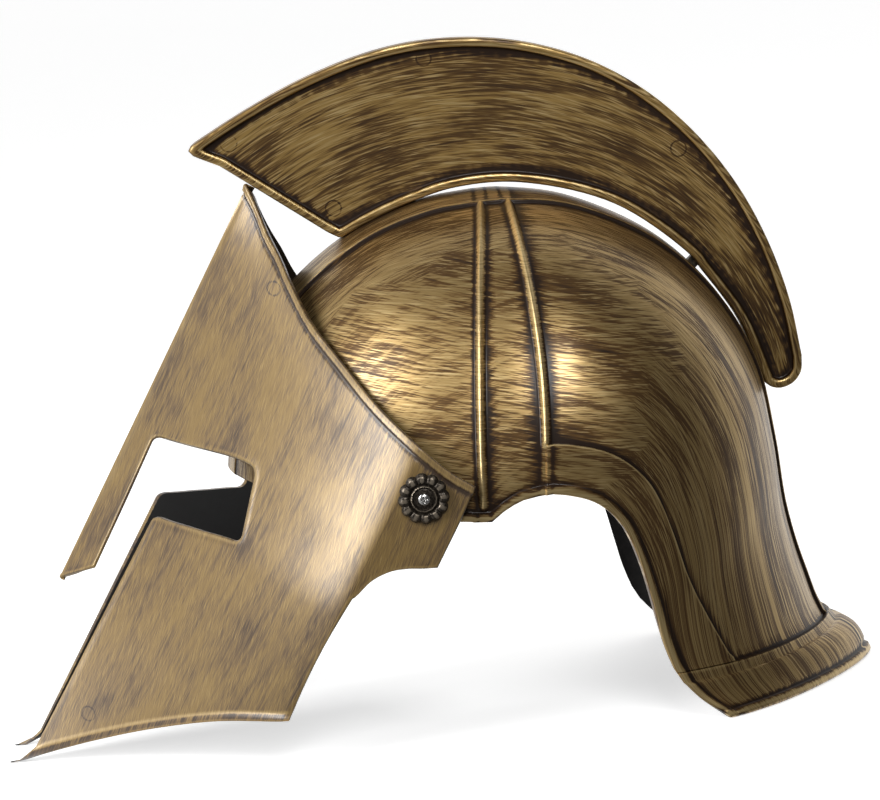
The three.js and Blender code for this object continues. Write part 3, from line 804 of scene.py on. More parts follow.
@dataclass
class Bowl(SubAssembly):
    """Skull bowl with its midline band, two ribs, raised border, rolled edge and neck guard.

    Each row is a quarter oval from the midline out to the side edge. rows holds, for each of them,
    the midline's y and z, the edge's x, y and z, how far it bows back, and the oval's power.
    """

    wall: float = 2.2
    band_height: float = 1.2
    rib_height: float = 2.2
    rib_half: float = 2.6
    step: float = 0.6
    border_height: float = 2.5
    bead_width: float = 3.4
    bead_height: float = 1.0
    edge_radius: float = 1.2
    arch_bow: float = 1.3
    lay_across: float = 185.0
    lay_apart: float = 40.0
    rib_rows: tuple = (5.0, 6.0)
    ledge_row: float = 14.0
    rim_row: float = 16.0
    rows: np.ndarray = field(default_factory=lambda: np.array([
        (-95, 116.5, 95.5, -12, 101, 0, 1.69),
        (*dome_point(155), 97, -9, 100.6, 0, 1.69),
        (*dome_point(135), 98.5, -6, 100.2, 0, 1.71),
        (*dome_point(115), 99.8, -2.5, 99.8, -0.5, 1.74),
        (*dome_point(100), 101.2, 2, 99.4, -1.5, 1.8),
        (*dome_point(88), 102, 9.5, 99, -2.8, 1.9),
        (*dome_point(83), 103, 35.5, 107, 4, 1.93),
        (*dome_point(70), 103, 47, 105.3, 3, 2),
        (*dome_point(50), 102, 57, 100.5, 1.5, 2),
        (*dome_point(32), 99, 66, 89.5, 0.5, 2),
        (*dome_point(16), 95, 72, 72, 0, 2),
        (*dome_point(0), 91, 75.3, 56, 0, 2),
        (145.9, 72, 88, 77.3, 44, 0, 1.9),
        (151.6, 44.5, 86.5, 79.5, 33, 0, 1.76),
        (160, 20.6, 86, 83.5, 21.5, 0, 1.6),
        (172.8, 12.6, 86.8, 91.5, 10.5, 0, 1.42),
        (177.8, 0, 87.4, 104, 0, 0, 1.3),
    ]))
    # millimetres along the net on both sides of a rib, of the ledge and before the rim
    near_rib: tuple = (-4.4, -3.6, -3.0, -2.6, -2.2, -1.8, -1.4, -1.0, -0.6, -0.2, 0.2, 0.6, 1.0, 1.4, 1.8,
                       2.2, 2.6, 3.0)
    near_ledge: tuple = (-2.4, -1.4, -0.9, -0.6, -0.45, -0.3, -0.15, 0, 0.3, 0.8, 1.6, 2.4, 3.2, 4, 4.8)
    near_edge: tuple = (5.4, 4.6, 4.2, 3.95, 3.7, 3.45, 3.1, 2.5, 1.8, 1.2, 0.8, 0.5, 0.25, 0.1, 0.0)

    def column(self, number: int, row: np.ndarray) -> np.ndarray:
        """One column of the table of rows, read smoothly between the rows."""
        return through(np.stack([np.arange(len(self.rows)), self.rows[:, number]], 1), row)

    def base(self, row: np.ndarray, angle: np.ndarray) -> np.ndarray:
        """Plain surface.

        x = edge x * sin^p, and y and z run from the edge to the midline with cos^p, where p is
        2 / power; y is bent by bow * 4 c (1 - c). The ear arch's edge is lifted by a hump in its
        middle and lowered by half of that in front.

        Args:
            row: place along, from 0 at the brow to 16 at the rim.
            angle: 0 on the midline to a quarter turn on the edge.

        Returns:
            The points in millimetres.
        """
        t = np.clip(row, 0, self.rim_row) / self.rim_row
        middle = spline(np.insert(self.rows[:, :2], 0, 0.0, axis=1), t)
        edge = spline(self.rows[:, 2:5], t)
        edge[..., 2] += self.arch_bow * (hump(row - 5.58, 0.42) - 0.5 * hump(row - 5.06, 0.2))
        power = 2 / self.column(6, row)
        c = np.maximum(np.cos(angle), 0) ** power
        s = np.maximum(np.sin(angle), 0) ** power
        x = edge[..., 0] * s
        y = edge[..., 1] + (middle[..., 1] - edge[..., 1]) * c + self.column(5, row) * 4 * c * (1 - c)
        z = edge[..., 2] + (middle[..., 2] - edge[..., 2]) * c
        return np.stack([x, y, z], -1)

    def frame_at(self, row: np.ndarray, angle: np.ndarray) -> tuple[np.ndarray, np.ndarray, np.ndarray]:
        """Surface point and directions, from a small step each way.

        Args:
            row: place along.
            angle: place across.

        Returns:
            The point, the direction towards the rim and the direction out of the surface.
        """
        dr = np.where(row > self.rim_row - 0.02, -0.01, 0.01)
        da = np.where(angle > QUARTER_TURN - 0.02, -0.01, 0.01)
        here = self.base(row, angle)
        along = unit((self.base(row + dr, angle) - here) / dr[..., None])
        across = unit((self.base(row, angle + da) - here) / da[..., None])
        return here, along, unit(np.cross(across, along))

    def lines_along(self) -> np.ndarray:
        """Rows of the net, close together at the relief.

        Returns:
            Row number and shift in millimetres towards the rim, one pair for each row.
        """
        first, second = self.rib_rows
        brow = (0, 0.008, 0.02, 0.04, 0.07, 0.1, 0.14, 0.18, 0.2, 0.22, 0.25, 0.28, 0.33, 0.4)
        parts = [(r, 0.0) for r in (*brow, *np.arange(0.5, 4.35, 0.12))]
        parts += [(first, s) for s in self.near_rib]
        parts += [(5.34, 0.0), (5.5, 0.0), (5.64, 0.0)]
        parts += [(second, s) for s in (*self.near_rib[2:], 3.2)]
        parts += [(r, 0.0) for r in np.arange(6.42, 13.7, 0.11)]
        parts += [(self.ledge_row, s) for s in self.near_ledge]
        parts += [(r, 0.0) for r in np.arange(14.5, 15.55, 0.1)]
        parts += [(self.rim_row, -s) for s in (5.2, *self.near_edge[1:])]
        return np.array(parts)

    def lines_across(self, row: np.ndarray) -> dict[str, np.ndarray]:
        """Columns of the net on each row.

        Args:
            row: row numbers, one per line.

        Returns:
            Angles, and for each of them the distance out from the band's side, in from the side edge,
            and into the raised border.
        """
        edge_x = spline(self.rows[:, 2:5], row / self.rim_row)[:, 0]
        ends = self.base(row, np.zeros_like(row)) - self.base(row, np.full_like(row, QUARTER_TURN))
        length = np.hypot(ends[:, 1], ends[:, 2])
        power = self.column(6, row) / 2
        band = through([[0, 19], [4, 21], [6, 23], [9, 13], [13, 9], [16, 9]], row)
        border = through([[0, 20], [8, 21], [9, 21], [11, 19], [12, 20], [14, 25.5]], row)
        e, n, p, band, border = (value[:, None] for value in (edge_x, length, power, band, border))
        beside_band = np.array([-2.2, -1.6, -1.2, -0.8, -0.4, 0, 0.2, 0.4, 0.6, 0.9, 1.4])
        middle_x = np.concatenate([band * np.linspace(0, 0.86, 9), band + beside_band], 1)
        from_middle = np.arcsin((middle_x / e) ** p)
        border_d = border - np.array([-1.6, -0.8, -0.3, 0, 0.15, 0.3, 0.45, 0.6, 0.9, 1.4, 2.2])
        flat_d = border - 2.2 + (self.near_edge[0] - border + 2.2) * np.linspace(0, 1, 9)[1:-1]
        bead_d = np.tile(self.near_edge, (len(row), 1))
        edge_d = np.concatenate([border_d, flat_d, bead_d], 1)
        from_edge = np.arccos(np.clip((edge_d / n) ** p, 0, 1))
        between = from_middle[:, -1:] + (from_edge[:, :1] - from_middle[:, -1:]) * np.linspace(0, 1, 34)[1:-1]
        angle = np.concatenate([from_middle, between, from_edge], 1)
        x = e * np.sin(angle) ** (1 / p)
        d = n * np.cos(angle).clip(0) ** (1 / p)
        return {"angle": angle, "band": x - band, "edge": d, "border": border - d}

    def net(self) -> Net:
        """The whole shell's nets.

        The outer net stands off the plain surface by the relief, and the inner one by the wall.
        Both are stretched to end on the floor at the rim.

        Returns:
            The nets and their paint.
        """
        row, shift = self.lines_along().T
        across = self.lines_across(row)
        angle = across["angle"]
        here, along, out = self.frame_at(np.repeat(row[:, None], angle.shape[1], 1), angle)
        relief = BowlRelief(self, row, shift, across)
        base = here + along * shift[:, None, None]
        outer = base + out * relief.height()[..., None]
        inner = base - out * self.wall
        for net in (outer, inner):
            net[-1] += along[-1] * (-net[-1, :, 2] / along[-1, :, 2])[:, None]
            net[:, 0, 0] = 0
            net[..., 2] = np.maximum(net[..., 2], 0)
        on_neck = ease(row, 7, 11)[:, None]
        steps = np.linalg.norm(np.diff(base, axis=0, prepend=base[:1]), axis=-1)
        run = np.cumsum((1 - 0.55 * on_neck) * steps, axis=0)
        lay = np.stack([run, angle / QUARTER_TURN * self.lay_across], -1)
        turned = 0.95 * (1 - ease(row, 6.5, 9.5))[:, None] * ease(angle, 0.35, 0.95) + 0.18
        paint = Paint(mirrored_lay(lay, self.lay_apart), mirrored(relief.grime_and_shade()), mirrored(relief.wear_and_highlight()),
                      mirrored(turned))
        return Net(mirrored(outer), mirrored(inner), paint)

    def build(self, finishes: Finishes) -> bpy.types.Object:
        """Builds and dresses the shell."""
        piece = sheet_mesh("bowl_shell", self.net())
        return self.dress(piece, [finishes.bowl_gold, finishes.lining], "skull")


class BowlRelief:
    """Relief on the bowl's net, where patina and wear gather, and where shade and highlight are painted."""

    def __init__(self, bowl: Bowl, row: np.ndarray, shift: np.ndarray, across: dict[str, np.ndarray]) -> None:
        """Works out how far each point lies from the bowl's features.

        Args:
            bowl: the bowl's sizes.
            row: row number of each row of the net.
            shift: its shift towards the rim in millimetres.
            across: what lines_across gives for the rows.
        """
        self.bowl = bowl
        r, s = row[:, None], shift[:, None]
        self.row, self.shift = r, s
        self.band, self.edge, self.border = across["band"], across["edge"], across["border"]
        self.back = np.where(r == bowl.rim_row, -s, FAR)
        self.brow = np.where(r < 0.4, r * 40, FAR)
        on_first, on_second = (r == number for number in bowl.rib_rows)
        self.rib_away = np.where(on_first | on_second, np.abs(s), FAR)
        self.on_band = 1 - ease(self.band, 0, bowl.step)
        self.first = on_first * hump(s, bowl.rib_half) * ease(self.edge, 4.0, 7.0) * (1 - self.on_band)
        ends = 1 - 0.9 * ease(self.border, -1, 3)
        self.second = on_second * hump(s, bowl.rib_half) * (1 - self.on_band) * ends
        self.behind = np.where(on_second, ease(s, -0.4, 0.6), r > bowl.rib_rows[1])
        self.on_ledge = r == bowl.ledge_row
        self.past_ledge = r > bowl.ledge_row
        self.off_lip = 1 - (self.on_ledge & (s > -bowl.step) | self.past_ledge)

    def height(self) -> np.ndarray:
        """Height of the relief.

        The higher of the ribs, the border, the midline band, the brow bead and the neck's lip
        counts. The rolled bead is added on it, and the rounded edge and the grooves are taken off.

        Returns:
            Millimetres above the plain surface.
        """
        bowl, r, s = self.bowl, self.row, self.shift
        fall = 1 - 0.4 * ease(self.border, 1, 12)
        rise = ease(s, -bowl.step, 0) * (1 - 0.16 * ease(s, 0, 4))
        share = np.where(self.past_ledge, 0.4 + 0.44 * (1 - ease(r, 14.3, 15.1)), self.on_ledge * rise)
        lip = bowl.border_height * share * np.where(self.border > 0, fall, 1)
        border = bowl.border_height * ease(self.border, 0, bowl.step) * fall * self.behind
        brow = bowl.bead_height * (1 - ease(r, 0.2, 0.28))
        border = border * np.where(share > 0, share, 1.0)
        height = highest(bowl.rib_height * self.first, bowl.rib_height * self.second, border,
                         bowl.band_height * self.on_band * self.off_lip, brow, lip)
        height = height + 0.35 * hump(self.band + 0.9, 0.9) * self.off_lip
        bead_end = bowl.bead_width + bowl.step
        bead = 1 - ease(np.minimum(self.edge, self.back), bowl.bead_width, bead_end)
        groove = sum(hump(d - bowl.bead_width - 1.3, 0.9) for d in (self.edge, self.back))
        end = np.minimum(np.minimum(self.edge, self.back), self.brow)
        return height + bowl.bead_height * bead - rolled(end, bowl.edge_radius) - 0.35 * groove

    def grime_and_shade(self) -> np.ndarray:
        """Dark patina beside the ribs, the band, the border and the beads, and painted shade under the
        crest's foot.

        Returns:
            0 to 1 for each point.
        """
        beside_bead = self.bowl.bead_width + 1.2
        return highest(
            (1 - ease(np.abs(self.rib_away - 2.7), 0.2, 2.0)) * (self.rib_away < FAR),
            1 - ease(np.abs(self.band - 0.8), 0.3, 3.0),
            (1 - ease(np.abs(self.border + 0.4), 0.3, 3.0)) * self.behind * self.off_lip,
            1 - ease(np.abs(self.edge - beside_bead), 0.2, 2.4),
            1 - ease(np.abs(self.back - beside_bead), 0.2, 2.2),
            (1 - ease(np.abs(self.shift + 0.8), 0.2, 2.5)) * self.on_ledge * (self.border < 0),
            # painted shade: the crest's shadow on the band under its front foot
            0.9 * hump(self.row - 3.3, 1.0) * (1 - ease(self.band, -14, -5)))

    def wear_and_highlight(self) -> np.ndarray:
        """Bright wear on the ribs, the beads and the band's corners; wear and painted highlight on the
        border's corner and the ledge.

        Returns:
            0 to 1 for each point.
        """
        return highest(
            np.minimum(1.3 * self.first, 1), np.minimum(1.3 * self.second, 1),
            hump(self.edge - 1.6, 1.9), hump(self.back - 1.7, 1.9), hump(self.band + 0.8, 1.2),
            # wear, and painted highlight where the border's corner and the ledge catch the light
            hump(self.border - 0.8, 0.9) * self.behind * self.off_lip,
            0.7 * hump(self.shift - 0.4, 0.8) * self.on_ledge)


# ------------------------------------------------------------------ face plate
@dataclass
class PlateLayout:
    """Side-view places of the face plate's net.

    t, n and out are [row, column]: down the ridge, back from it and outwards, in millimetres. zone
    and part are the rows' zones and places in them, drop their millimetres below the top edge, and
    place the columns' places on the table of columns.
    """

    t: np.ndarray
    n: np.ndarray
    out: np.ndarray
    zone: np.ndarray
    part: np.ndarray
    drop: np.ndarray
    place: np.ndarray


@dataclass
class FacePlate(SubAssembly):
    """Pointed face plate with the nose guard, eye holes, cheek pieces and temple lobes.

    It is laid out on its side view: t runs down the ridge from the peak, n back from the ridge.
    top, eye, cheek and bottom are lines on it as pairs (n, t), and width gives half widths as
    pairs (t, x).
    """

    body = Body.FACE_PLATE

    wall: float = 2.0
    depth: float = 108.0
    point: float = 1.25
    nose_length: float = 193.5
    nose_slope: float = 1.14
    bead: float = 3.2
    bead_height: float = 1.0
    step: float = 0.6
    edge_radius: float = 0.7
    ridge_radius: float = 3.0
    corner_radius: float = 3.2
    hollow: float = 1.4
    # the turned-out flange's drop, reach out and reach forwards, and their values at the cheek's tip
    flange_drop: float = 4.3
    flange_out: float = 3.5
    tip_drop: float = 11.5
    tip_out: float = 6.5
    tip_forward: float = 7.5
    tip_start: float = 110.0
    tip_end: float = 22.0
    lay_across: float = 1.15
    lay_apart: float = 50.0
    turned: float = 0.05
    peak: tuple = (-72.8, 240.1)
    nose: tuple = (-176.1, 76.5)
    width: tuple = ((0, 50), (14, 68), (30, 90), (50, 104), (64, 107.2), (76, 107.5), (92, 107.5),
                    (110, 107.2), (140, 103.5), (200, 82), (263, 59), (280, 55))
    top: tuple = ((0, 0.4), (8.6, 6.9), (17, 14.4), (25.7, 20.6), (34.5, 27.8), (48, 37.1), (64.7, 44.4),
                  (84.5, 52.2), (102, 57.2), (121.8, 62.1), (135, 63.3))
    eye: tuple = ((0, 117), (12.6, 115.2), (42.8, 104.1), (54, 102), (85, 97), (109.5, 93), (135, 80))
    cheek: tuple = ((0, 146), (24, 144.6), (42, 139), (60, 133), (85, 130), (109.5, 127.5), (113, 118),
                    (118, 111), (124, 106.5), (130, 103.5), (135.3, 100.5))
    bottom: tuple = ((22, 263.8), (44.3, 239.5), (64.6, 219.1), (85.6, 200.8), (110, 184.5))
    # n of each column on the top, eye, cheek and bottom lines
    columns: tuple = (
        (0, 0, 0, 0), (4, 4, 4.5, 4.5), (9.5, 10.4, 11.2, 11.7), (20, 22, 24.4, 22.2), (33, 36, 40, 38),
        (46, 53, 60.3, 55), (60, 67, 73, 69), (75, 81, 86, 83), (90, 95, 98, 97), (104, 108, 109.5, 110),
        (113, 116, 116, 116), (124, 126, 125, 125), (134.7, 135.3, 135.3, 135.3))
    nose_column: int = 2
    front_column: int = 3
    corner_column: int = 5
    back_column: int = 9

    def half_width(self, t: np.ndarray, n: np.ndarray) -> np.ndarray:
        """Half width: W(t) * (1 - (1 - n / depth) ^ point)."""
        reach = np.clip(n / self.depth, 0, 1)
        return through(self.width, t) * (1 - (1 - reach) ** self.point)

    def place(self, t: np.ndarray, n: np.ndarray) -> np.ndarray:
        """Point on the surface: the peak plus t along the ridge and n square to it, at the half width.

        Args:
            t: place down the ridge.
            n: place back from it.

        Returns:
            The points in millimetres.
        """
        ridge = unit(np.array(self.nose) - np.array(self.peak))
        y = self.peak[0] + ridge[0] * t - ridge[1] * n
        z = self.peak[1] + ridge[1] * t + ridge[0] * n
        return np.stack([self.half_width(t, n), y, z], -1)

    def normal(self, t: np.ndarray, n: np.ndarray) -> np.ndarray:
        """Outward direction, from small steps both ways.

        Args:
            t: place down the ridge.
            n: place back from it.

        Returns:
            Unit vectors.
        """
        d = 0.05
        dt = self.place(t + d, n) - self.place(t - d, n)
        dn = self.place(t, n + d) - self.place(t, np.maximum(n - d, 0))
        return unit(np.cross(dt, dn))

    def column_steps(self) -> np.ndarray:
        """Fine columns, close beside each coarse one that bounds a hole.

        Returns:
            Places on the table of columns.
        """
        counts = (5, 7, 8, 9, 10, 9, 9, 9, 8, 6, 7, 8)
        close = np.array([0.0, 0.025, 0.06, 0.12, 0.2])
        bounds = (self.nose_column, self.front_column, self.corner_column, self.back_column)
        places = []
        for k, count in enumerate(counts):
            inner = np.linspace(0, 1, count + 1)[:-1]
            if k in bounds:
                inner = np.concatenate([close, np.linspace(0.3, 1, count)[:-1]])
            if k + 1 in (*bounds, len(counts)):
                inner = np.concatenate([inner[inner < 0.78], 1 - close[:0:-1]])
            places.append(k + np.unique(inner))
        return np.concatenate([*places, [float(len(counts))]])

    def row_steps(self) -> np.ndarray:
        """Fine rows, close together at the top bead, the eye holes and the flange.

        Returns:
            Zone, place in the zone from 0 to 1, and millimetres below the top edge. Rows on the top
            bead have -1 for the place and count by millimetres, the others by place.
        """
        bead = (0, 0.1, 0.25, 0.5, 0.9, 1.4, 2.0, 2.5, 2.9, 3.2, 3.4, 3.6, 3.8, 4.1, 4.6, 5.4, 6.6)
        forehead = (*np.linspace(0.0, 1, 24)[1:-3], 0.93, 0.96, 0.98, 0.992)
        eye = (0, 0.02, 0.05, 0.1, *np.linspace(0.2, 0.8, 6), 0.9, 0.95, 0.98)
        cheek = (0, 0.005, 0.013, 0.026, 0.045, *np.linspace(0.08, 0.94, 34), 0.965, 0.985, 1.0)
        flange = (0.12, 0.25, 0.4, 0.55, 0.7, 0.82, 0.91, 0.97, 1)
        rows = [(Zone.FOREHEAD.value, -1.0, d) for d in bead]
        for zone, parts in zip(Zone, (forehead, eye, cheek, flange)):
            rows += [(zone.value, part, 0) for part in parts]
        return np.array(rows)

    def layout(self) -> PlateLayout:
        """Side-view places of the net: straight between the four lines, then rounded and turned out.

        Returns:
            The layout.
        """
        place = self.column_steps()
        zone, part_of_row, drop = self.row_steps().T
        k = np.minimum(place.astype(int), len(self.columns) - 2)
        table, s = np.array(self.columns, float), (place - k)[:, None]
        n_lines = table[k] * (1 - s) + table[k + 1] * s
        nose = self.nose_length - self.nose_slope * n_lines[:, 3]
        bottom = np.where(place <= self.nose_column, nose, through(self.bottom, n_lines[:, 3]))
        t_lines = np.stack([through(self.top, n_lines[:, 0]), through(self.eye, n_lines[:, 1]),
                            through(self.cheek, n_lines[:, 2]), bottom], 1)
        line = np.minimum(zone, Zone.CHEEK.value).astype(int)
        start, end = t_lines[:, line].T, t_lines[:, line + 1].T
        on_bead, on_flange = part_of_row < 0, zone == Zone.FLANGE.value
        limit = drop[on_bead][-1] / np.maximum(end - start, 1)[on_bead][-1]
        part = np.where(on_bead[:, None], drop[:, None] / np.maximum(end - start, 1), part_of_row[:, None])
        body = (zone == Zone.FOREHEAD.value) & ~on_bead
        part[body] = limit + (1 - limit) * part[body]
        part[on_flange] = 1.0
        t = start + (end - start) * part
        n = n_lines[:, line].T + (n_lines[:, line + 1].T - n_lines[:, line].T) * part
        t, n = self.rounded_corners(t, n, zone, place)
        pull = np.interp(place, [self.back_column - 1, self.back_column, self.back_column + 1], [0, 1, 0])
        n = n - self.hollow * pull * 4 * part * (1 - part) * (zone == Zone.CHEEK.value)[:, None]
        turn = np.where(on_flange, part_of_row, 0)[:, None]
        t, n, out = self.turned_out(t, n, turn)
        return PlateLayout(t, n, out, zone, part_of_row, np.where(on_bead, drop, FAR), place)

    def turned_out(self, t: np.ndarray, n: np.ndarray, turn: np.ndarray) -> tuple:
        """Turns the lower edge out along a quarter round that grows towards the cheek's tip.

        t grows by drop * sin and the shift outwards by out * (1 - cos)^0.8 of a quarter turn times
        turn, and the tip leans forwards.

        Args:
            t: places down the ridge.
            n: places back from it.
            turn: 0 where the flange starts to 1 on its edge.

        Returns:
            t, n and the shift outwards.
        """
        tip = np.clip((self.tip_start - n) / (self.tip_start - self.tip_end), 0, 1) ** 5
        drop = self.flange_drop + (self.tip_drop - self.flange_drop) * tip
        out = self.flange_out + (self.tip_out - self.flange_out) * tip
        t = t + drop * np.sin(QUARTER_TURN * turn)
        n = n - self.tip_forward * tip * turn
        return t, n, out * (1 - np.cos(QUARTER_TURN * turn)) ** 0.8

    def rounded_corners(self, t: np.ndarray, n: np.ndarray, zone: np.ndarray, place: np.ndarray) -> tuple:
        """Rounds the three corners of the eye hole behind the nose guard and the cheek's front corner.

        Args:
            t: places down the ridge.
            n: places back from it.
            zone: the rows' zones.
            place: the columns' places.

        Returns:
            The moved t and n.
        """
        eye, cheek = (int(np.argmax(zone == z.value)) for z in (Zone.EYE, Zone.CHEEK))
        corners = ((eye, self.nose_column, 1, 1), (eye, self.corner_column, 1, -1),
                   (cheek, self.corner_column, -1, -1), (cheek, self.front_column, 1, 1))
        for row, column, down, back in corners:
            corner = row, int(np.argmin(np.abs(place - column)))
            t, n = self.rounded(t, n, corner, down, back)
        return t, n

    def rounded(self, t: np.ndarray, n: np.ndarray, corner: tuple, down: int, back: int) -> tuple:
        """Moves the net near a corner so that the two edges that meet there run into a round.

        On each edge a point at distance u from the corner goes to the circle of corner_radius that
        touches both edges, at 45 degrees * (1 - u / radius) from where it touches; the move fades
        out away from the edge.

        Args:
            t: places down the ridge.
            n: places back from the ridge.
            corner: the corner's row and column.
            down: 1 where one edge leaves towards later rows, -1 towards earlier ones.
            back: 1 where the other edge leaves towards later columns, -1 towards earlier ones.

        Returns:
            The moved t and n.
        """
        r, c = corner
        here = np.array([t[r, c], n[r, c]])
        first = unit(np.array([t[r + 3 * down, c], n[r + 3 * down, c]]) - here)
        second = unit(np.array([t[r, c + 3 * back], n[r, c + 3 * back]]) - here)
        basis = np.stack([first, second], 1)
        u, v = np.einsum("ij,jab->iab", np.linalg.inv(basis), np.stack([t - here[0], n - here[1]]))
        ahead_u, beside_u = self.onto_round(u)
        ahead_v, beside_v = self.onto_round(v)
        off = np.where((u < 0) & (v < 0), np.maximum(-u, -v), np.minimum(np.abs(u), np.abs(v)))
        off = np.where((u < 0) & (v >= 0), -u, np.where((v < 0) & (u >= 0), -v, off))
        fade = hump(off, 2.2 * self.corner_radius)
        on_first = np.where((u >= 0) & (v >= 0), u >= v, np.maximum(-v, 0) >= np.maximum(-u, 0))
        du = np.where(on_first, ahead_u, beside_v) * fade
        dv = np.where(on_first, beside_u, ahead_v) * fade
        return t + basis[0, 0] * du + basis[0, 1] * dv, n + basis[1, 0] * du + basis[1, 1] * dv

    def onto_round(self, distance: np.ndarray) -> tuple[np.ndarray, np.ndarray]:
        """Move that puts points of an edge onto the corner's round.

        Args:
            distance: from the corner along the edge.

        Returns:
            The move along the edge, and towards the other edge.
        """
        radius = self.corner_radius
        kept = np.clip(distance, 0, radius)
        angle = QUARTER_TURN / 2 * (1 - kept / radius)
        return radius * (1 - np.sin(angle)) - kept, radius * (1 - np.cos(angle))

    def openings(self, at: PlateLayout) -> np.ndarray:
        """Which cells have material; the eye, the mouth slot, and below the lobe and nose are open.

        Args:
            at: the layout.

        Returns:
            True or False for each cell [row, column].
        """
        zone = at.zone[:-1][:, None]
        next_zone = at.zone[1:][:, None]
        column = at.place[:-1].astype(int)[None]
        eye = (zone == Zone.EYE.value) & (column >= self.nose_column) & (column < self.corner_column)
        mouth = (zone >= Zone.CHEEK.value) & (column >= self.nose_column) & (column < self.front_column)
        under_lobe = (zone >= Zone.CHEEK.value) & (column >= self.back_column)
        under_nose = (next_zone == Zone.FLANGE.value) & (column < self.front_column)
        return ~(eye | mouth | under_lobe | under_nose)

    @staticmethod
    def away_from_holes(base: np.ndarray, has: np.ndarray) -> np.ndarray:
        """Distance of each place from the nearest free edge.

        Args:
            base: the net's points.
            has: which cells have material.

        Returns:
            Millimetres [row, column].
        """
        around = np.pad(has, 1)
        around[:, 0] = around[:, 1]
        full = around[:-1, :-1] & around[1:, :-1] & around[:-1, 1:] & around[1:, 1:]
        some = around[:-1, :-1] | around[1:, :-1] | around[:-1, 1:] | around[1:, 1:]
        return nearest(base.reshape(-1, 3), base[some & ~full]).reshape(base.shape[:2])

    def relief(self, at: PlateLayout, away: np.ndarray) -> np.ndarray:
        """Height over the plain surface: the top bead, its groove, the rolled edges and the ridge.

        Args:
            at: the layout.
            away: distance from the nearest free edge.

        Returns:
            Millimetres [row, column].
        """
        drop = at.drop[:, None]
        on_bead = 1 - ease(drop, self.bead, self.bead + self.step)
        front = (at.place < self.corner_column + 0.6)[None] & (at.zone != Zone.FLANGE.value)[:, None]
        rim = 0.35 * hump(away - 1.1, 1.1) * front
        height = self.bead_height * on_bead - 0.25 * hump(drop - self.bead - 1.4, 0.9) + rim
        return height - rolled(away, self.edge_radius) - 0.36 * hump(at.n, self.ridge_radius)

    def inner_net(self, at: PlateLayout, base: np.ndarray, outward: np.ndarray) -> np.ndarray:
        """The wall's inside: square to the surface, and straight in beside the nose guard's edge.

        Args:
            at: the layout.
            base: the plain surface.
            outward: its outward directions.

        Returns:
            The points in millimetres.
        """
        near_ridge = self.normal(at.t[:, :1], np.full_like(at.t[:, :1], 0.5))
        share = np.hypot(near_ridge[..., 1], near_ridge[..., 2])
        inner = base - outward * self.wall
        inner[:, 0] = base[:, 0] - unit(outward[:, 0] * (0, 1, 1)) * (self.wall / share)
        straight = base.copy()
        straight[..., 0] -= self.wall / np.maximum(outward[..., 0], 0.3)
        blend = hump(at.place - self.nose_column, 1.0)[None, :, None]
        return inner * (1 - blend) + straight * blend

    def paint(self, at: PlateLayout, away: np.ndarray) -> Paint:
        """Grime below the bead, at the edges and in the flange; wear on the bead, ridge and rims.

        Args:
            at: the layout.
            away: distance from the nearest free edge.

        Returns:
            The whole net's paint.
        """
        drop = at.drop[:, None]
        flange, cut = (at.zone == Zone.FLANGE.value)[:, None], at.part[:, None]
        grime_and_shade = highest(
            1 - ease(np.abs(drop - self.bead - 1.1), 0.2, 2.4), 0.8 * (1 - ease(drop, 1.2, 2.2)),
            0.5 * (1 - ease(away, 0.5, 4.5)), 0.75 * (flange & (cut > 0.2) & (cut < 0.95)))
        wear_and_highlight = highest(
            hump(drop - 2.4, 0.8), 0.8 * hump(at.n, 2.2), 0.8 * hump(away - 1.0, 1.2),
            0.8 * (flange & (cut < 0.2) | (cut == 1)))
        lay = np.stack([at.t, at.n * self.lay_across], -1)
        return Paint(mirrored_lay(lay, self.lay_apart), mirrored(grime_and_shade), mirrored(wear_and_highlight), self.turned)

    def net(self) -> Net:
        """The whole plate's nets.

        Returns:
            The nets and their paint.
        """
        at = self.layout()
        has = self.openings(at)
        outward = self.normal(at.t, at.n)
        base = self.place(at.t, at.n)
        base[..., 0] += at.out
        away = self.away_from_holes(base, has)
        direction = outward.copy()
        direction[:, 0] = unit(outward[:, 0] * (0, 1, 1))
        outer = base + direction * self.relief(at, away)[..., None]
        inner = self.inner_net(at, base, outward)
        for net in (outer, inner):
            net[..., 2] = np.maximum(net[..., 2], 0)
            net[:, 0, 0] = 0
        whole = np.concatenate([has[:, ::-1], has], 1)
        return Net(mirrored(outer), mirrored(inner), self.paint(at, away), whole)

    def build(self, finishes: Finishes) -> bpy.types.Object:
        """Builds and dresses the plate."""
        piece = sheet_mesh("face_plate_shell", self.net())
        return self.dress(piece, [finishes.plate_gold, finishes.lining], "visor")


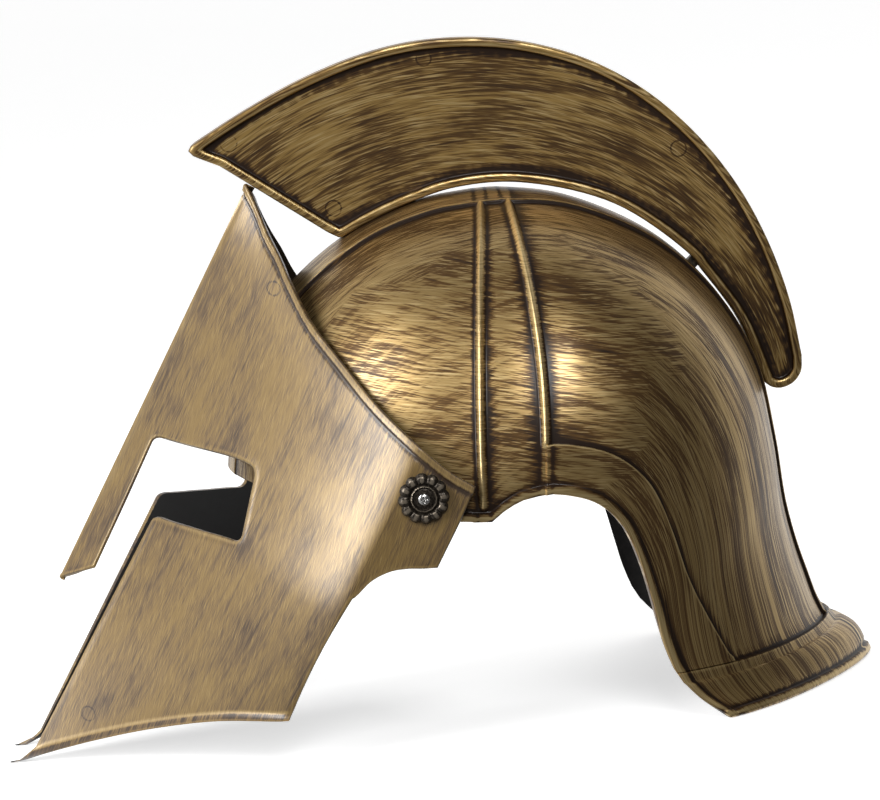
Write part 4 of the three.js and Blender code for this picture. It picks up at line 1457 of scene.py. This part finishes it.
# ------------------------------------------------------------------ crest
@dataclass
class CrestPlate(SubAssembly):
    """One half of the plate crest: a raised rim around a sunk panel, with a flat seam side.

    top and tail are its outline's points (y, z); foot has points (degrees, radius) around the dome.
    profile has pairs of how far in from the outline, and x, from the seam over the rim to the panel.
    """

    tip: tuple = (-99.4, 257.0)
    bend: tuple = (-83.4, 248.9)
    top: tuple = ((-70, 271.6), (-43.7, 282.4), (-15.9, 290.1), (8, 292.9), (35, 291.3), (60, 285.3),
                  (84, 274.6), (105, 259.5), (124, 239), (139.5, 215), (150.5, 189), (157.5, 162),
                  (160.4, 137))
    tail: tuple = ((160.4, 137), (159.4, 130), (155.5, 125.4), (150, 123.6), (146, 124.4), (143.1, 126.6))
    foot: tuple = ((10.5, 122.5), (25, 122.9), (38, 123.4), (41, 124.4), (60, 125.4), (80, 124.8),
                   (93, 123.9), (101, 122.5), (107, 121.9), (113, 121.8), (118.7, 122.2))
    profile: tuple = ((0, 0.15), (0, 1.5), (0, 3.0), (0, 4.3), (0.08, 4.9), (0.3, 5.4), (0.65, 5.75),
                      (1.1, 5.93), (1.6, 6.0), (2.4, 5.98), (3.0, 5.9), (3.4, 5.75), (3.7, 5.5), (3.95, 5.1),
                      (4.1, 4.6), (4.3, 4.2), (4.6, 4.0), (5.0, 3.95))
    long_count: int = 170
    short_count: int = 26
    lay_radius: float = 155.0
    lay_apart: float = 60.0

    def outline(self, inset: float) -> tuple[np.ndarray, list[int]]:
        """Outline moved in by inset, with both sharp corners rounded.

        Args:
            inset: millimetres.

        Returns:
            Points (y, z), and the numbers of its four corners: tip, top end, foot end and front foot.
        """
        top = spline(np.array([self.tip, *self.top]), np.linspace(0, 1, 131))
        tail = spline(np.array(self.tail), np.linspace(0, 1, 31))[1:-1]
        degrees, radius = np.array(self.foot).T
        foot = spline(dome_point(degrees, radius), np.linspace(0, 1, 91))
        front = np.linspace(foot[-1], self.bend, 12)[1:]
        points = np.vstack([top, tail, foot, front, np.linspace(self.bend, self.tip, 8)[1:-1]])
        ahead = unit(np.roll(points, -1, 0) - points)
        behind = unit(points - np.roll(points, 1, 0))
        along = unit(ahead + behind)
        miter = inset / np.sum(along * ahead, 1)
        moved = points + np.stack([along[:, 1], -along[:, 0]], 1) * miter[:, None]
        part = min(inset / 3.0, 1.0)
        marks = [0, len(top) - 1, len(top) + len(tail), len(top) + len(tail) + len(foot) - 1]
        for corner, setback in ((marks[0], 7 - 5 * part), (marks[3], 3 - 1.5 * part)):
            moved = self.round_corner(points, moved, corner, inset, setback)
        return moved, marks

    @staticmethod
    def round_corner(points: np.ndarray, moved: np.ndarray, corner: int, inset: float,
                     setback: float) -> np.ndarray:
        """Rounds a corner of the moved outline, where its near points would cross over.

        The curve is corner + (1 - s)^2 a + s^2 b, with a and b running setback along both sides.

        Args:
            points: the outline before it was moved in.
            moved: the outline after it was moved in.
            corner: the corner's number.
            inset: how far it was moved in.
            setback: how far from the corner the curve starts.

        Returns:
            The moved outline with the round in it.
        """
        count = len(points)
        near = np.linalg.norm(points - points[corner], axis=1) < setback + 2.4 * inset + 1
        reach = ahead = 1
        while near[(corner - reach) % count]:
            reach += 1
        while near[(corner + ahead) % count]:
            ahead += 1
        here, before, after = moved[corner], moved[(corner - reach) % count], moved[(corner + ahead) % count]
        s = np.linspace(0, 1, 17)[:, None]
        curve = here + (1 - s) ** 2 * unit(before - here) * setback + s ** 2 * unit(after - here) * setback
        made = moved.copy()
        for path, numbers in ((np.vstack([before, curve[:9]]), np.arange(corner - reach, corner + 1)),
                              (np.vstack([curve[8:], after]), np.arange(corner, corner + ahead + 1))):
            made[numbers % count] = spaced(path, len(numbers))
        return made

    def loop(self, inset: float) -> list[np.ndarray]:
        """The four sides of the outline at an inset, each spaced evenly.

        Args:
            inset: millimetres.

        Returns:
            Points (y, z) of the top, the tail, the foot and the front.
        """
        points, marks = self.outline(inset)
        points = np.vstack([points, points[:1]])
        ends = [*marks, len(points) - 1]
        counts = (self.long_count, self.short_count, self.long_count, self.short_count)
        return [spaced(points[ends[k]:ends[k + 1] + 1], count) for k, count in enumerate(counts)]

    def rings(self) -> np.ndarray:
        """Rings around the piece from the seam over the rim to the panel.

        Returns:
            Points [ring, place, xyz].
        """
        made = []
        for inset, x in self.profile:
            ring = np.vstack([side[:-1] for side in self.loop(inset)])
            made.append(np.insert(ring, 0, x, axis=1))
        return np.array(made)

    def patch(self, sides: list[np.ndarray]) -> np.ndarray:
        """Grid inside four sides: the sum of both straight blends less that of the corners.

        Args:
            sides: top, tail, foot and front.

        Returns:
            Points [row, column] (y, z), from the foot up and from the front back.
        """
        top, tail, foot, front = sides[0], sides[1][::-1], sides[2][::-1], sides[3]
        u = np.linspace(0, 1, self.long_count)[None, :, None]
        v = np.linspace(0, 1, self.short_count)[:, None, None]
        blend = (1 - v) * foot[None] + v * top[None] + (1 - u) * front[:, None] + u * tail[:, None]
        corners = (1 - v) * ((1 - u) * foot[0] + u * foot[-1]) + v * ((1 - u) * top[0] + u * top[-1])
        return blend - corners

    def cap(self, ring: int, first: int) -> tuple[np.ndarray, np.ndarray]:
        """Flat face inside one of the rings, whose edge shares the ring's vertices.

        Args:
            ring: the ring's number.
            first: number of the cap's first own vertex.

        Returns:
            The cap's own points and its quads.
        """
        inset, x = self.profile[ring]
        grid = self.patch(self.loop(inset))
        n, m = self.long_count, self.short_count
        around = 2 * (n + m) - 4
        start = ring * around
        number = np.full(grid.shape[:2], -1)
        number[-1] = start + np.arange(n)
        number[::-1, -1] = start + (n - 1) + np.arange(m)
        number[0, ::-1] = start + (n + m - 2) + np.arange(n)
        number[:, 0] = start + (2 * n + m - 3 + np.arange(m)) % around
        inner = number < 0
        number[inner] = first + np.arange(inner.sum())
        return np.insert(grid[inner], 0, x, axis=1), quads(number).reshape(-1, 4)

    def paint(self, points: np.ndarray, inset: np.ndarray, on_panel: np.ndarray, panel_edge: np.ndarray,
              sign: int) -> Paint:
        """Strokes along the crest's curve, grime in the panel's corner and wear on the rim.

        Args:
            points: the vertices.
            inset: how far in from the outline each lies.
            on_panel: which of them are the panel's own.
            panel_edge: points (y, z) of the panel's edge.
            sign: 1 for the wearer's left and -1 for the right.

        Returns:
            The paint of every vertex.
        """
        dy, dz = points[:, 1] - DOME_Y, points[:, 2] - DOME_Z
        along = np.arctan2(dz, dy) * self.lay_radius + 400 + self.lay_apart * sign
        lay = np.stack([along, np.hypot(dy, dz) + 2 * points[:, 0] + 20], 1)
        grime_and_shade = np.where((inset > 3.8) & ~on_panel, 1.0, 0.0)
        grime_and_shade[on_panel] = 0.95 * (1 - ease(nearest(points[on_panel, 1:], panel_edge), 0.6, 4.2))
        ridge = highest(hump(inset - 3.1, 0.7), 0.35 * hump(inset - 1.0, 1.0))
        return Paint(lay, grime_and_shade, ridge * (points[:, 0] > 4.5))

    def build(self, side: Side, finishes: Finishes) -> bpy.types.Object:
        """Builds and dresses one half: the rings, the flat seam and the sunk panel.

        Args:
            side: which half.
            finishes: the helmet's materials.

        Returns:
            The new object.
        """
        rings = self.rings()
        count, around = rings.shape[:2]
        numbers = np.arange(count * around).reshape(count, around)
        panel, panel_faces = self.cap(count - 1, count * around)
        seam, seam_faces = self.cap(0, count * around + len(panel))
        points = np.vstack([rings.reshape(-1, 3), panel, seam])
        faces = np.vstack([quads(closed_round(numbers)).reshape(-1, 4), panel_faces[:, ::-1], seam_faces])
        inset = np.zeros(len(points))
        inset[:count * around] = np.repeat(np.array(self.profile)[:, 0], around)
        on_panel = np.zeros(len(points), bool)
        on_panel[count * around:][:len(panel)] = True
        inset[on_panel] = FAR
        paint = self.paint(points, inset, on_panel, rings[-1, ::3, 1:], side.value)
        points[:, 0] *= side.value
        name = side.name.lower()
        piece = build_mesh(f"crest_plate_{name}", points, faces, paint, sharp=45)
        return self.dress(piece, [finishes.crest_gold], f"crest_{name}")


# ------------------------------------------------------------------ rosettes, screws and pegs
@dataclass
class Rosette(SubAssembly):
    """Petalled washer around the pivot screw."""

    body = Body.FACE_PLATE
    slot = Slot.PEWTER

    foot_x: float = 107.8
    radius: float = 10.6
    scallop: float = 0.95
    petals: int = 12
    petal_steps: int = 20
    petal_middle: float = 7.6
    cord_radius: float = 5.2
    bore: float = 1.9

    def rise(self, mean: np.ndarray, lobe: np.ndarray, angle: np.ndarray) -> tuple[np.ndarray, np.ndarray]:
        """Height over the face plate.

        A seat 1.45 high carries a twisted cord ring and a ring of petals, each a half oval across
        the ring that sinks to a valley between petals; two grooves part the rings, and the rim
        falls off.

        Args:
            mean: radius of each ring of the net.
            lobe: 1 in the middle of a petal, 0 between two.
            angle: place around.

        Returns:
            The height in millimetres, and the petals' share of it from 0 to 1.
        """
        cord = hump(mean - self.cord_radius, 0.75)
        twist = 0.12 * np.cos(angle * 30)[None] * hump(mean - self.cord_radius, 0.7)
        half_oval = np.sqrt(np.clip(1 - ((mean - self.petal_middle) / 3.4) ** 2, 0, 1))
        petal = ease(mean, 5.9, 7.2) * half_oval
        rise = 1.45 + 0.9 * cord + twist + petal * (0.55 + 0.75 * lobe ** 0.6) - 1.2 * ease(mean, 9.2, 10.6)
        grooves = 0.35 * hump(mean - 4.2, 0.5) + 0.3 * hump(mean - 6.2, 0.4)
        return rise - grooves, petal

    def build(self, side: Side, finishes: Finishes) -> bpy.types.Object:
        """Builds and dresses one rosette, whose outline is scalloped by the petals.

        Args:
            side: which temple it is on.
            finishes: the helmet's materials.

        Returns:
            The new object.
        """
        around = self.petals * self.petal_steps
        a = np.arange(around) / around * 2 * np.pi
        share = np.array([0, 0.12, 0.2, 0.28, 0.33, 0.37, 0.41, 0.45, 0.49, 0.53, 0.57, 0.61, 0.65, 0.7, 0.75,
                          0.8, 0.85, 0.9, 0.94, 0.97, 0.99, 1.0])[:, None]
        lobe = np.abs(np.cos(a * self.petals / 2))[None]
        r = self.bore + (self.radius - self.scallop * (1 - lobe) ** 1.2 * share - self.bore) * share
        mean = self.bore + (self.radius - self.bore) * share
        rise, petal = self.rise(mean, lobe, a)
        y, z = r * np.cos(a), r * np.sin(a)
        face = np.stack([(self.foot_x + rise) * side.value, PIVOT_Y + y, PIVOT_Z + z], -1)
        rear = face.copy()
        rear[..., 0] = self.foot_x * side.value
        wear_and_highlight = np.maximum(hump(mean - self.cord_radius, 0.7), petal * lobe ** 2)
        net = Net(face, rear, Paint(np.stack([y, z], -1), 0 * wear_and_highlight, wear_and_highlight), wrap=True)
        name = side.name.lower()
        piece = sheet_mesh(f"rosette_face_{name}", net, 60)
        return self.dress(piece, [finishes.pewter, finishes.pewter], f"rosette_{name}")


@dataclass
class PivotScrew(SubAssembly):
    """Domed screw through the rosette, the face plate and the bowl, with a nut inside."""

    slot = Slot.STEEL

    seat_x: float = 109.7
    head: float = 2.5
    head_wall: float = 0.45
    dome: float = 1.05
    dome_foot: float = 0.985
    shank: float = 1.6
    nut: float = 4.0
    nut_x: float = 91.0
    nut_thick: float = 2.5
    cross_half: float = 0.42
    cross_reach: float = 1.4
    cross_depth: float = 0.55
    around: int = 48

    def profile(self) -> np.ndarray:
        """The turned outline, from the nut's middle over the shank to the top of the head.

        Returns:
            Pairs of radius and x.
        """
        s, start = self.seat_x, self.nut_x - self.nut_thick
        angle = np.radians(np.linspace(12, 90, 9))
        dome = np.stack([self.head * np.cos(angle) * self.dome_foot,
                         s + self.head_wall + self.dome * np.sin(angle)], 1)
        made = np.array([
            (1e-4, start), (self.nut - 0.5, start), (self.nut, start + 0.4), (self.nut, self.nut_x - 0.3),
            (self.nut - 0.3, self.nut_x), (self.shank, self.nut_x), (self.shank, s), (self.head - 0.05, s),
            (self.head, s + 0.1), (self.head, s + self.head_wall), *dome])
        made[-1, 0] = 1e-4
        return made

    def build(self, side: Side, finishes: Finishes) -> bpy.types.Object:
        """Builds and dresses one screw: its profile turned round X, with a cross pressed into its head.

        Args:
            side: which temple it is on.
            finishes: the helmet's materials.

        Returns:
            The new object.
        """
        profile = self.profile()
        a = np.arange(self.around) / self.around * 2 * np.pi
        r, x = profile[:, :1], profile[:, 1:]
        y, z = r * np.cos(a), r * np.sin(a)
        slots = np.maximum(hump(y, self.cross_half) * (np.abs(z) < self.cross_reach),
                           hump(z, self.cross_half) * (np.abs(y) < self.cross_reach))
        pressed = self.cross_depth * slots * (x > self.seat_x + 0.6)
        points = np.stack([(x - pressed) * side.value, PIVOT_Y + y, PIVOT_Z + z], -1).reshape(-1, 3)
        faces = quads(closed_round(np.arange(len(points)).reshape(len(profile), -1))).reshape(-1, 4)
        faces = np.where(faces < self.around, 0, faces)
        last_ring = len(points) - self.around
        faces = np.where(faces >= last_ring, last_ring, faces)
        clean = np.zeros(len(points))
        name = side.name.lower()
        paint = Paint(points[:, 1:], clean, clean)
        piece = build_mesh(f"temple_screw_{name}", points, faces, paint, sharp=40)
        return self.dress(piece, [finishes.steel], f"pivot_screw_{name}")


class CrestPegs:
    """The three plain pegs under the crest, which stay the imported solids."""

    def build(self, finishes: Finishes) -> list[bpy.types.Object]:
        """Gives the pegs their material.

        Args:
            finishes: the helmet's materials.

        Returns:
            The pegs.
        """
        pegs = [node for name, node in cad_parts.items() if name.startswith("crest_peg")]
        for peg in pegs:
            peg.data.materials.clear()
            peg.data.materials.append(finishes.peg)
        return pegs


# ------------------------------------------------------------------ studio
@dataclass(frozen=True)
class Softbox:
    """Soft area light: degrees round Z from +X and above the level, metres and watts."""

    name: str
    turn: float
    height: float
    size: tuple
    power: float
    distance: float = 1.9

    def build(self, target: Vector) -> None:
        """Adds the light, facing a target.

        Args:
            target: the point that it faces, in metres.
        """
        a, e = math.radians(self.turn), math.radians(self.height)
        away = Vector((math.cos(e) * math.cos(a), math.cos(e) * math.sin(a), math.sin(e)))
        data = bpy.data.lights.new(self.name, "AREA")
        data.shape, data.energy = "RECTANGLE", self.power
        data.size, data.size_y = self.size
        lamp = bpy.data.objects.new(self.name, data)
        lamp.location = target + away * self.distance
        lamp.rotation_euler = (-away).to_track_quat("-Z", "Y").to_euler()
        bpy.context.scene.collection.objects.link(lamp)


@dataclass(frozen=True)
class Studio:
    """White room: floor, lights and camera."""

    target: tuple = (0.0, 0.0136, 0.1353)
    distance: float = 1.5
    lens: float = 139.46
    elevation: float = 9.0
    turn: float = 1.8
    roll: float = 6.45
    floor_half: float = 24.0
    floor_z: float = -0.0004
    softboxes: tuple = (Softbox("tall_softbox", -60, 26, (0.6, 1.5), 36),
                        Softbox("top_softbox", 8, 37, (0.6, 0.6), 14))

    def camera(self) -> None:
        """Places the camera: round the target by turn and elevation, then rolled."""
        e, d, r = (math.radians(v) for v in (self.elevation, self.turn, self.roll))
        away = Vector((math.cos(e) * math.cos(d), -math.cos(e) * math.sin(d), math.sin(e)))
        side = Vector((math.sin(d), math.cos(d), 0))
        up = side.cross(-away)
        right = side * math.cos(r) - up * math.sin(r)
        top = side * math.sin(r) + up * math.cos(r)
        data = bpy.data.cameras.new("camera")
        data.lens, data.sensor_width, data.clip_end = self.lens, 36.0, 60.0
        camera = bpy.data.objects.new("camera", data)
        place = Matrix((right, top, away)).transposed().to_4x4()
        place.translation = Vector(self.target) + away * self.distance
        camera.matrix_world = place
        bpy.context.scene.collection.objects.link(camera)
        bpy.context.scene.camera = camera

    def room(self) -> None:
        """Sky that lights white from behind, dark from the near side and grey from low in front.

        The camera itself sees it white all round.
        """
        world = bpy.data.worlds.new("studio")
        world.use_nodes = True
        g = Graph(world.node_tree)
        back = world.node_tree.nodes["Background"]
        direction = g.node("ShaderNodeTexCoord").outputs["Generated"]
        x, y, z = g.node("ShaderNodeSeparateXYZ", {0: direction}).outputs
        low = g.spread(y, -0.8, -0.2, 0.6, 0.12)
        near = g.spread(z, -0.15, 0.05, low, 0.06)
        seen = g.node("ShaderNodeLightPath").outputs["Is Camera Ray"]
        g.link(g.math("MAXIMUM", g.spread(x, -0.65, 0.15, 1.0, near), seen), back.inputs[1])
        back.inputs[0].default_value = (1, 1, 1, 1)
        bpy.context.scene.world = world

    def floor(self) -> None:
        """Adds the pale floor just below the helmet; it takes shadows, and stays out of reflections."""
        s, z = self.floor_half, self.floor_z
        mesh = bpy.data.meshes.new("floor")
        mesh.from_pydata([(-s, -s, z), (s, -s, z), (s, s, z), (-s, s, z)], [], [(0, 1, 2, 3)])
        floor = bpy.data.objects.new("floor", mesh)
        bpy.context.scene.collection.objects.link(floor)
        material = bpy.data.materials.new("pale_floor")
        material.use_nodes = True
        shader = material.node_tree.nodes["Principled BSDF"].inputs
        shader["Base Color"].default_value = (0.9, 0.9, 0.9, 1)
        shader["Roughness"].default_value = 0.9
        shader["Emission Color"].default_value = (1, 1, 1, 1)
        shader["Emission Strength"].default_value = 0.6
        mesh.materials.append(material)
        floor.visible_glossy = floor.visible_diffuse = False

    def build(self) -> None:
        """Makes the camera, the world, the lights and the floor."""
        self.camera()
        self.room()
        for softbox in self.softboxes:
            softbox.build(Vector(self.target))
        self.floor()
        bpy.context.scene.view_settings.view_transform = "Standard"


def main() -> None:
    """Builds the studio and every piece of the helmet."""
    logging.basicConfig(level=logging.INFO, format="%(message)s")
    Studio().build()
    finishes = Finishes()
    pieces = [Bowl().build(finishes), FacePlate().build(finishes)]
    for side in Side:
        for sub_assembly in (CrestPlate(), Rosette(), PivotScrew()):
            pieces.append(sub_assembly.build(side, finishes))
    pieces += CrestPegs().build(finishes)
    for piece in pieces:
        LOG.info("%s: %d faces", piece.name, len(piece.data.polygons))


if __name__ == "__main__":
    main()
